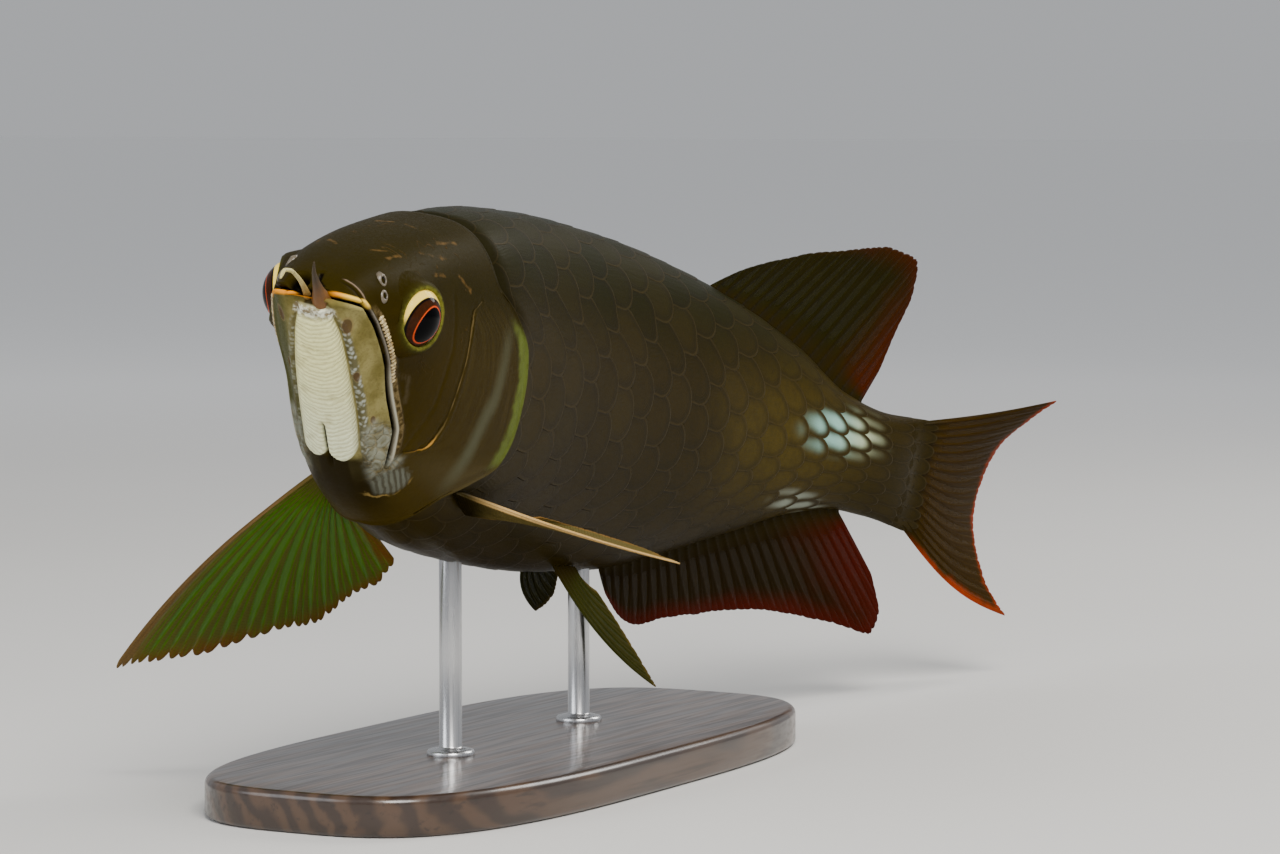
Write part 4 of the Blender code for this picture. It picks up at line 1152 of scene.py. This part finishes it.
class Growth:
    """A geometry-node tree with named inputs, used once and turned into a plain mesh."""

    def __init__(self, name):
        self.tree = bpy.data.node_groups.new(name, "GeometryNodeTree")
        face = self.tree.interface
        face.new_socket(name="Geometry", in_out="INPUT", socket_type="NodeSocketGeometry")
        face.new_socket(name="Geometry", in_out="OUTPUT", socket_type="NodeSocketGeometry")
        self.values = []
        self.source = self.tree.nodes.new("NodeGroupInput")
        self.sink = self.tree.nodes.new("NodeGroupOutput")

    def input(self, name, kind, value):
        made = self.tree.interface.new_socket(name=name, in_out="INPUT", socket_type=kind)
        self.values.append((made.identifier, value))
        return self.source.outputs[name]

    def node(self, kind, settings=None, links=None, out=0):
        made = self.tree.nodes.new(kind)
        for key, value in (settings or {}).items():
            setattr(made, key, value)
        for key, value in (links or {}).items():
            if isinstance(value, bpy.types.NodeSocket):
                self.tree.links.new(value, made.inputs[key])
            else:
                made.inputs[key].default_value = value
        return made.outputs[out]

    def draw(self, low, high, seed):
        """Random number for each place, between low and high."""
        return self.node("FunctionNodeRandomValue", {"data_type": "FLOAT"},
                         {2: low, 3: high, "Seed": seed}, 1)

    def math(self, kind, a, b):
        return self.node("ShaderNodeMath", {"operation": kind}, {0: a, 1: b})

    def grow(self, obj, geometry, material):
        """Runs the tree on obj and leaves the result as its plain mesh."""
        flat = self.node("GeometryNodeRealizeInstances", links={"Geometry": geometry})
        done = self.node("GeometryNodeSetMaterial", links={"Geometry": flat, "Material": material})
        self.tree.links.new(done, self.sink.inputs[0])
        mod = obj.modifiers.new("growth", "NODES")
        mod.node_group = self.tree
        for key, value in self.values:
            mod[key] = value
        graph = bpy.context.evaluated_depsgraph_get()
        mesh = bpy.data.meshes.new_from_object(obj.evaluated_get(graph))
        obj.modifiers.clear()
        obj.data = mesh
        return obj


def lip_seats(side):
    """Places of the lip's beads in metres and the way each one faces."""
    seats = []
    turns = []
    line = np.array(GAPE[1:]) * SPAN
    run = np.concatenate([[0], np.cumsum(np.hypot(*np.diff(line, axis=0).T))])
    for at in np.arange(18.5, 47.5, 1.5):
        here, next_one = (np.array([np.interp(x, run, line[:, k]) for k in (0, 1)])
                          for x in (at, at + 2))
        way = unit(next_one - here)
        ups = np.array([-way[1], way[0]])
        ups *= 1 if ups[0] > 0 else -1
        spots = []
        off = between(at / run[-1], 2.7, 1.5)
        for out, ahead in ((off, 0), (off + .5, 0), (off, .5)):
            s, z = (here + ups * out + way * ahead) / SPAN
            spots.append(place(s, side * flank(s, z), z))
        across = unit(spots[1] - spots[0])
        along = spots[2] - spots[0]
        along = unit(along - across * along.dot(across))
        out = np.cross(along, across)
        out *= 1 if out.dot(TURN @ [.3, side, 0]) > 0 else -1
        proud = .74 - .34 * float(step(at, 34, 48))
        seats.append(spots[0] + out * proud * MM)
        turns.append(Matrix(np.column_stack([along, np.cross(out, along), out])).to_euler())
    return seats, turns


def lip_beads(name, side, material):
    """Row of small pearly segments along the upper lip."""
    seats, turns = lip_seats(side)
    mesh = bpy.data.meshes.new("seats")
    mesh.from_pydata(np.array(seats).tolist(), [], [])
    set_shade(mesh, "turns", np.array([tuple(e) for e in turns]))
    row = Growth(name)
    size = row.input("Bead size", "NodeSocketVector", (.00070, .00118, .00055))
    spread = row.input("Spread", "NodeSocketFloat", .22)
    seed = row.input("Seed", "NodeSocketInt", 5)
    ball = row.node("GeometryNodeMeshUVSphere", links={"Segments": 14, "Rings": 8, "Radius": 1.0})
    facing = row.node("GeometryNodeInputNamedAttribute", {"data_type": "FLOAT_VECTOR"},
                      {"Name": "turns"})
    draw = row.draw(row.math("SUBTRACT", 1.0, spread), 1.1, seed)
    scaled = row.node("ShaderNodeVectorMath", {"operation": "SCALE"}, {0: size, "Scale": draw})
    spots = row.node("GeometryNodeInstanceOnPoints",
                     links={"Points": row.source.outputs[0], "Instance": ball,
                            "Rotation": facing, "Scale": scaled})
    plain = row.node("GeometryNodeRealizeInstances", links={"Geometry": spots})
    smooth = row.node("GeometryNodeSetShadeSmooth", links={"Geometry": plain})
    return row.grow(add(name, mesh), smooth, material)


def scale_stations(g, turn):
    """Station of place g, in whole scales behind the gill cover."""
    first = COVER_REAR(turn) + GAP_S + .002
    return first + (.996 - first) * (g / SCALE_ROWS)


def scale_plate():
    """One flat scale in its own units: x back, y across, z up, with a rounded rear edge."""
    # Lines close to the rim keep its rounding narrow.
    down = (0, .28, .52, .72, .86, .95, .985, 1)
    halves = (.22, .44, .64, .82, .965, 1)
    across = [-a for a in halves[::-1]] + [0] + list(halves)
    points = []
    for top in (1, 0):
        for f in down:
            for a in across:
                # The rear of the plate is a half round, its front is narrower and hidden.
                reach = math.sqrt(max(1 - (abs(a) * .98) ** 2.3, 0))
                x = -1.05 + f * (1.05 + .62 * reach)
                wide = .56 * (1 - .16 * (1 - f) ** 2)
                edge = min((1 - f) * 12, (1 - abs(a)) * 14, 1)
                rise = f * .60 * (1 - .22 * a * a) + a * .02 - .03 * (1 - edge)
                points.append((x, a * wide, rise - (0 if top else .30 * (.3 + .7 * edge))))
    mesh = bpy.data.meshes.new("scale")
    mesh.from_pydata(points, [], sheet_faces(len(down), len(across)))
    return add("scale", mesh), len(points)


def scale_roots():
    """Lattice places of the scales' roots: whole scales back and rows round from the back ridge."""
    roots = []
    for side in (1, -1):
        for g in range(SCALE_ROWS + 1):
            for k in range(SCALE_COLUMNS + 1):
                row = k + (.5 if g % 2 else 0)
                if row > SCALE_COLUMNS or side < 0 and row in (0, SCALE_COLUMNS):
                    continue
                roots.append((float(g), side * row, 0))
    return roots


def flat_scales(plate, roots, material):
    """One plate on each root, still flat and in lattice units."""
    mesh = bpy.data.meshes.new("scale_roots")
    mesh.from_pydata(roots, [], [])
    coat = Growth("scale_coat")
    piece = coat.input("Plate", "NodeSocketObject", plate)
    spread = coat.input("Size spread", "NodeSocketFloat", .015)
    seed = coat.input("Seed", "NodeSocketInt", 7)
    shape = coat.node("GeometryNodeObjectInfo", {"transform_space": "ORIGINAL"}, {"Object": piece},
                      "Geometry")
    draw = coat.draw(coat.math("SUBTRACT", 1.0, spread), coat.math("ADD", 1.0, spread), seed)
    spots = coat.node("GeometryNodeInstanceOnPoints",
                      links={"Points": coat.source.outputs[0], "Instance": shape, "Scale": draw})
    return coat.grow(add("scales", mesh), spots, material)


def scale_coat(material):
    """Overlapping scales, laid flat in lattice units first and then wrapped on the body."""
    plate, size = scale_plate()
    roots = scale_roots()
    obj = flat_scales(plate, roots, material)
    bpy.data.objects.remove(plate)
    mesh = obj.data
    flat = np.zeros(len(mesh.vertices) * 3)
    mesh.vertices.foreach_get("co", flat)
    root = np.repeat(np.array(roots), size, axis=0)
    step_x, step_y, high = (flat.reshape(-1, 3) - root).T
    rng = np.random.default_rng(11)
    lot = np.repeat(rng.random(len(roots)), size)
    tilt = np.repeat(rng.normal(0, .018, len(roots)), size)
    g = root[:, 0] + step_x
    row_turn = (root[:, 1] + step_y + tilt * step_x) / SCALE_COLUMNS
    side = np.sign(root[:, 1] + 1e-9)
    # Points past the ridge or the keel go on down the other side.
    over = np.maximum(np.abs(row_turn) - 1, 0)
    turn = np.minimum(np.abs(row_turn), 1) - over
    signed = np.where((row_turn * side < 0) | (over > 0), -side, side) * turn
    s = scale_stations(g, turn)
    slim = np.clip((1.02 - s) / .3, .35, 1)
    depth = .52 + SHOULDER_STEP * step(g, 2.0, 0) * .8 + (.30 - high * .95) * slim
    depth += .8 * step(g, .25, -.4) + 1.1 * step(g, .5, -.3) * step(turn, .36, .28)
    s, y, z = skin(np.clip(s, COVER_REAR(turn) - .004, 1.02), signed, depth)
    mesh.vertices.foreach_set("co", place(s, y, z).ravel())
    edge = np.clip(np.hypot(step_y / .56, np.maximum(step_x, -.2) / .62), 0, 1.2)
    # Mask of the first scales under the gill cover, for their painted shade and rougher finish.
    tuck = step(g, .8, .25) * step(turn, .40, .33)
    for key, values in (("lot", lot), ("rim", edge), ("across", step_y), ("tuck", tuck),
                        ("straight", np.stack([s, y, z], -1) * SPAN)):
        set_shade(mesh, key, values)
    u = root[:, 1] / SCALE_COLUMNS * .48 + .5 + step_y * .0026
    v = .02 + root[:, 0] / (SCALE_ROWS + 1) * .95 + step_x * .0017
    set_map(mesh, np.stack([u, v], -1))
    mesh.update()
    return outward(obj)


# Fins

def fin(name, middle, rays, thick, tip_thick, seed, fray=.02, per_ray=12):
    """Thin membrane with branching rays raised on both faces."""
    rng = np.random.default_rng(seed)
    rows = 56
    cols = rays * per_ray + 1
    across = np.linspace(0, 1, cols)
    down = np.linspace(-.055, 1, rows)
    spread = rng.normal(0, fray * .35, rays)
    ray_at = (np.arange(rays) + .5) / rays
    ray_of = np.clip((across * rays).astype(int), 0, rays - 1)
    shift = (across - ray_at[ray_of]) * rays
    twigs = np.abs(np.sin(across * rays * 2 * np.pi))
    notch = 1 - fray * (.45 * (1 - twigs) + .35 * (np.abs(shift) * 2) ** 2)
    notch += np.interp(across, ray_at, spread)
    f, t = np.meshgrid(down, across, indexing="ij")
    reach = f * np.where(f > 0, notch[None, :], 1)
    off = np.broadcast_to(shift, f.shape)
    first = np.clip((f - .38) / .62, 0, 1)
    second = np.clip((f - .66) / .34, 0, 1)
    out = np.clip(f, 0, 1)
    wide = between(out, .20, .085)
    fork = first ** .8 * .25
    twig = second ** .9 * .11
    ridge = np.zeros(f.shape)
    for a in (-1, 1):
        for b in (-1, 1):
            ridge = np.maximum(ridge, hill(off - a * fork - b * twig, wide))
    core = between(out, thick, tip_thick)
    web = between(out, .42, .22)
    half = (web + (core - web) * ridge) / 2
    p = middle(t, reach)
    dt = middle(np.minimum(t + .004, 1), reach) - middle(np.maximum(t - .004, 0), reach)
    df = middle(t, reach + .004) - middle(t, reach - .004)
    edge = np.minimum(1, np.minimum(across, 1 - across) * rays * 3 + .35)
    lift = unit(np.cross(dt, df)) * (half * edge * MM)[..., None]
    points = np.concatenate([(p + lift).reshape(-1, 3), (p - lift).reshape(-1, 3)])
    length = np.linalg.norm(np.diff(p, axis=0), axis=2).cumsum(0) / MM
    length = np.concatenate([np.zeros((1, cols)), length])
    shades = {"out": out, "side": t, "ridge": ridge, "length": length}
    shades = {k: np.tile(v.ravel(), 2) for k, v in shades.items()}
    shades["straight"] = np.tile(((p - FISH_AT) @ TURN / MM).reshape(-1, 3), (2, 1))
    uv = grid_uv(rows, cols) * [.49, 1]
    return solid(name, points, sheet_faces(rows, cols), shades, np.concatenate([uv, uv + [.5, 0]]))


def rooted(f):
    """How far a fin's hidden root dips into the body, in body lengths."""
    return FIN_ROOT * np.clip(-f * 18, 0, 1)


def midline_fin(tip_s, tip_z, first, edge, side, waves, phase):
    """Mid surface of a fin that stands on the back, side 1, or hangs from the keel, side -1."""
    def middle(t, f):
        s = between(t, first, .908)
        ripple = .0012 * np.sin(t * waves + phase) * np.clip(f, 0, 1) ** 2
        return place(between(f, s, tip_s(t)), between(f, 0, side * .004 * np.sin(3 * t)) + ripple,
                     between(f, edge(s) + side * GAP_S, tip_z(t)) - side * rooted(f))
    return middle


DORSAL = midline_fin(
    curve((0, .678), (.06, .712), (.15, .752), (.4, .842), (.6, .902), (.75, .938), (.86, .945),
          (.93, .934), (1, .922)),
    curve((0, .1045), (.06, .1195), (.15, .132), (.4, .153), (.6, .163), (.75, .159), (.86, .130),
          (.93, .098), (1, .064)), .672, BACK, 1, 19, 0)
ANAL = midline_fin(
    curve((0, .612), (.08, .642), (.15, .668), (.25, .702), (.4, .762), (.6, .85), (.75, .925),
          (.86, .984), (.93, .994), (1, .972)),
    curve((0, -.142), (.08, -.159), (.15, -.164), (.25, -.157), (.4, -.148), (.6, -.1405),
          (.75, -.143), (.86, -.148), (.93, -.131), (1, -.099)), .598, KEEL, -1, 23, 1)


def caudal(t, f):
    tail_s = curve((0, 1.188), (.1, 1.171), (.25, 1.152), (.5, 1.137), (.75, 1.146),
                   (.9, 1.163), (1, 1.180))
    tail_z = curve((0, .072), (.1, .055), (.25, .028), (.5, -.021), (.75, -.072),
                   (.9, -.103), (1, -.118))
    inner = np.clip(f, 0, 1.2)
    cup = -.029 * (1 - (2 * t - 1) ** 2) * inner ** 1.6
    flare = -np.sin(np.pi * np.clip(f, 0, 1)) * between(t, .002, .012)
    ripple = .0012 * np.sin(t * 17) * inner ** 2
    z = between(f, between(t, BACK(1) - .002, KEEL(1) + .002), tail_z(t))
    return place(between(f, 1 + GAP_S, tail_s(t)), cup + ripple, z + flare)


def paired(root_a, root_b, lead_tip, across, along, spread, bow, sag):
    """Mid surface of a side fin, drawn in the plane of its lead ray."""
    root_a, root_b, lead_tip, across = (np.array(v, float)
                                        for v in (root_a, root_b, lead_tip, across))
    lead = unit(lead_tip - root_a)
    wide = unit(across - lead * across.dot(lead))
    out = np.cross(lead, wide)

    def middle(t, f):
        t, f = np.broadcast_arrays(t, f)
        root = root_a + (root_b - root_a) * t[..., None]
        tip = root_a + lead * along(t)[..., None] + wide * spread(t)[..., None]
        p = root + (tip - root) * f[..., None]
        arch = (4 * f * (1 - f))[..., None]
        p = p - wide * bow * arch * (1 - t[..., None]) + out * sag * arch
        return place(p[..., 0], p[..., 1], p[..., 2])
    return middle


PECTORAL_RIGHT = paired(
    (.232, -.0505, -.076), (.258, -.047, -.094), (.341, -.226, -.257), (.876, .117, -.467),
    curve((0, .279), (.1, .268), (.22, .245), (.36, .215), (.5, .182), (.65, .155), (.8, .125),
          (.9, .101), (1, .075)),
    curve((0, 0), (.1, .011), (.22, .030), (.36, .058), (.5, .084), (.65, .099), (.8, .108),
          (.9, .112), (1, .111)), .0065, .004)
PECTORAL_LEFT = paired(
    (.232, .0505, -.076), (.258, .047, -.090), (.460, .134, -.100), (.95, -.30, 0),
    curve((0, .247), (.25, .242), (.5, .222), (.75, .176), (1, .118)),
    curve((0, 0), (.25, .020), (.5, .034), (.75, .035), (1, .025)), .004, .002)
PELVIC_LEFT = paired(
    (.506, .016, -.127), (.541, .0145, -.125), (.600, .069, -.2005), (.998, 0, .057),
    curve((0, .131), (.2, .122), (.4, .106), (.7, .078), (1, .048)),
    curve((0, 0), (.2, .003), (.4, .009), (.7, .018), (1, .026)), .010, .002)
PELVIC_RIGHT = paired(
    (.514, -.016, -.127), (.546, -.0145, -.125), (.600, -.048, -.1675), (.998, 0, .057),
    curve((0, .099), (.3, .099), (.6, .090), (1, .062)),
    curve((0, 0), (.3, .007), (.6, .018), (1, .026)), .005, .002)


# The stand

def base_board():
    """Flat board with round corners and a softly rounded upper edge."""
    low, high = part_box("stand_base")
    cx, cy = (low.x + high.x) / 2, (low.y + high.y) / 2
    cols = 160
    ways = np.stack([np.cos(circle(cols)), np.sin(circle(cols))], 1)
    shape = np.sign(ways) * np.abs(ways) ** BASE_CORNERS
    profile = [(0.0, .0020, 1), (.0002, .0012, 1), (.0009, .0004, 1), (.0018, 0, 1), (.0070, 0, 1)]
    profile += [(BASE_HEIGHT - BASE_EDGE * (1 - math.sin(q)), BASE_EDGE * (1 - math.cos(q)), 1)
                for q in np.linspace(0, math.pi / 2, 9)]
    profile += [(BASE_HEIGHT, BASE_EDGE, share) for share in (.9, .6, .3)]
    rings = []
    for height, inset, share in profile:
        xy = shape * [BASE_LENGTH / 2 - inset, BASE_WIDTH / 2 - inset] * share
        rings.append(np.column_stack([cx + xy[:, 0], cy + xy[:, 1], np.full(cols, height)]))
    return tube("base_board", rings, {})


def rod(name, node):
    """Steel rod with a thin turned collar on the board."""
    low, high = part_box(node)
    cx, cy = (low.x + high.x) / 2, (low.y + high.y) / 2
    a = circle(40)
    profile = [(BASE_HEIGHT - .0012, .0085), (BASE_HEIGHT + .0010, .0085),
               (BASE_HEIGHT + .0018, .0080), (BASE_HEIGHT + .0022, .0066),
               (BASE_HEIGHT + .0026, .0044), (BASE_HEIGHT + .0032, ROD_RADIUS),
               (low.z + (high.z - low.z) * .5, ROD_RADIUS), (high.z - .0006, ROD_RADIUS),
               (high.z + .0006, ROD_RADIUS * .9), (high.z + .0009, ROD_RADIUS * .5)]
    return tube(name, [np.column_stack([cx + np.cos(a) * r, cy + np.sin(a) * r, np.full(len(a), h)])
                       for h, r in profile], {})


# Put together

def show(obj, nodes, material=None):
    """Gives a piece its material, slot and the nodes it replaces."""
    if material is not None:
        obj.data.materials.clear()
        obj.data.materials.append(material)
    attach(obj, "root")
    if nodes:
        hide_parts(*nodes)
    return obj


def light(name, at, to, size, watts, colour):
    lamp = bpy.data.lights.new(name, "AREA")
    lamp.shape = "DISK"
    lamp.size = size
    lamp.energy = watts
    lamp.color = colour
    obj = add(name, lamp)
    obj.location = at
    obj.rotation_euler = (Vector(to) - Vector(at)).to_track_quat("-Z", "Y").to_euler()


def studio():
    """Pale floor, soft light and the camera at the photograph's angle."""
    half = 40.0
    mesh = bpy.data.meshes.new("floor")
    mesh.from_pydata([(-half, -half, 0), (half, -half, 0), (half, half, 0), (-half, half, 0)],
                     [], [(0, 1, 2, 3)])
    floor = add("floor", mesh)
    p = Paint("pale_floor", .8)
    x, y, _ = p.parts(p.place())
    near = p.mix(p.noise(p.place(), 3, 3), (.59, .58, .56), (.63, .62, .60))
    p.feed("Base Color", p.mix(p.ramp(x * x + y * y, .2, 6), near, (.97, .97, .97)))
    floor.data.materials.append(p.material)

    world = bpy.data.worlds.new("studio")
    bpy.context.scene.world = world
    world.use_nodes = True
    sky = world.node_tree.nodes["Background"]
    sky.inputs[0].default_value = (.80, .82, .85, 1)
    sky.inputs[1].default_value = .56
    aim = (.05, .05, .15)
    light("key", (1.15, 1.0, 1.45), aim, 1.0, 54, (1, .97, .92))
    light("fill", (1.4, -.9, .9), aim, 1.2, 12, (.92, .96, 1))
    light("rear", (-1.2, .6, 1.1), aim, .8, 15, (1, .98, .94))

    cam = bpy.data.cameras.new("camera")
    cam.lens = LENS
    cam.sensor_width = 36
    cam.clip_start = .05
    obj = add("camera", cam)
    at = FISH_AT + CAMERA_FROM_SNOUT
    obj.matrix_world = Matrix([(*row, x) for row, x in zip(CAMERA_ROWS, at)] + [(0, 0, 0, 1)])
    bpy.context.scene.camera = obj


def fins():
    """All seven fins, each with its paint, hiding the node it replaces."""
    back = fin_paint("fin_dorsal", (.018, .0155, .0015), (.012, .0085, .001), (.062, .0075, .0006),
                     .34, fade=.35)
    under = fin_paint("fin_anal", (.0150, .0085, .0008), (.0100, .0055, .0006),
                      (.062, .0030, .0005), .34)
    rear = fin_paint("fin_tail", (.040, .0205, .001), (.024, .0115, .0008), (.300, .030, .002), .08,
                     tint=1.0)
    wing = fin_paint("fin_side", (.078, .205, .006), (.105, .080, .022), (.170, .050, .008), .10,
                     clear=.86, root=(.110, .080, .020), lead=(.170, .100, .035))
    # The left fin's lead ray is painted far brighter than the right fin's: a painted highlight along
    # its lit edge.
    pale = fin_paint("fin_side_pale", (.085, .078, .016), (.120, .085, .024), (.240, .110, .022),
                     .08, lead=(.520, .330, .120))
    green = fin_paint("fin_belly", (.026, .029, .003), (.030, .026, .005), (.120, .075, .012), .08)
    # Piece, node, shape, rays, thickness in mm at the root and at the tip, seed, paint.
    for piece, node, shape, rays, thick, tip_thick, seed, paint, more in (
            ("fin_back", "dorsal_fin", DORSAL, 18, 1.35, .55, 2, back, {}),
            ("fin_under", "anal_fin", ANAL, 26, 1.35, .55, 3, under, {"per_ray": 10}),
            ("fin_rear", "caudal_fin", caudal, 17, 1.8, .55, 4, rear, {}),
            ("fin_side_right", "pectoral_fin_right", PECTORAL_RIGHT, 15, 2.1, .55, 5, wing,
             {"fray": .05}),
            ("fin_side_left", "pectoral_fin_left", PECTORAL_LEFT, 15, 2.1, .55, 6, pale, {}),
            ("fin_belly_left", "pelvic_fin_left", PELVIC_LEFT, 6, 1.5, .5, 7, green, {}),
            ("fin_belly_right", "pelvic_fin_right", PELVIC_RIGHT, 6, 1.5, .5, 8, green, {})):
        show(fin(piece, shape, rays, thick, tip_thick, seed, **more), [node], paint)


def feelers():
    """Both barbels, from the chin forward."""
    # The left barbel's brown root is its own colour; painted darker than the right one and near black
    # toward its tip, it carries painted shade.
    show(barbel("feeler_left",
                ((.012, .0080, .0290), (.004, .0078, .0335), (-.005, .0082, .0385),
                 (-.016, .0088, .0450), (-.024, .0097, .0500), (-.030, .0108, .0555)),
                ((0, 3.9), (.2, 3.1), (.42, 1.8), (.7, .95), (.9, .5), (1, .25))),
         ["barbel_left"],
         barbel_paint("feeler_brown_shaded", (.170, .072, .018), (.035, .022, .009)))
    show(barbel("feeler_right",
                ((.012, -.0010, .0285), (.004, -.0012, .0335), (-.005, -.0018, .0390),
                 (-.015, -.0036, .0445), (-.025, -.0053, .0475), (-.033, -.0058, .0470),
                 (-.039, -.0052, .0415)),
                ((0, 2.2), (.15, 1.5), (.35, .9), (.6, .62), (.93, .62), (1, .3))),
         ["barbel_right"],
         barbel_paint("feeler_cream", (.250, .140, .035), (.520, .470, .190)))


def arowana():
    show(skin_shape(), ["head", "lower_jaw", "gill_cover_left", "gill_cover_right",
                                     "torso_front", "torso_rear", "tail"], skin_paint())
    show(scale_coat(scale_paint()), [])
    wet = eye_paint()
    lids = lid_paint()
    pit_shade = soft_paint("nostril_flesh", (.060, .044, .020), (.150, .120, .080))
    for side, word in ((1, "left"), (-1, "right")):
        show(eyeball("eye_ball_" + word, side), ["eye_" + word], wet)
        show(eye_lids("eye_lids_" + word, side), [], lids)
        show(nostrils("nostrils_" + word, side), [], pit_shade)
    feelers()
    gold = bead_paint()
    for side, word in ((1, "left"), (-1, "right")):
        show(lip_beads("lip_beads_" + word, side, gold), [])
    fins()


def stand():
    show(base_board(), ["stand_base"], wood_paint())
    steel = steel_paint()
    for word in ("front", "rear"):
        node = "stand_rod_" + word
        show(rod("rod_" + word, node), [node], steel)


studio()
arowana()
stand()
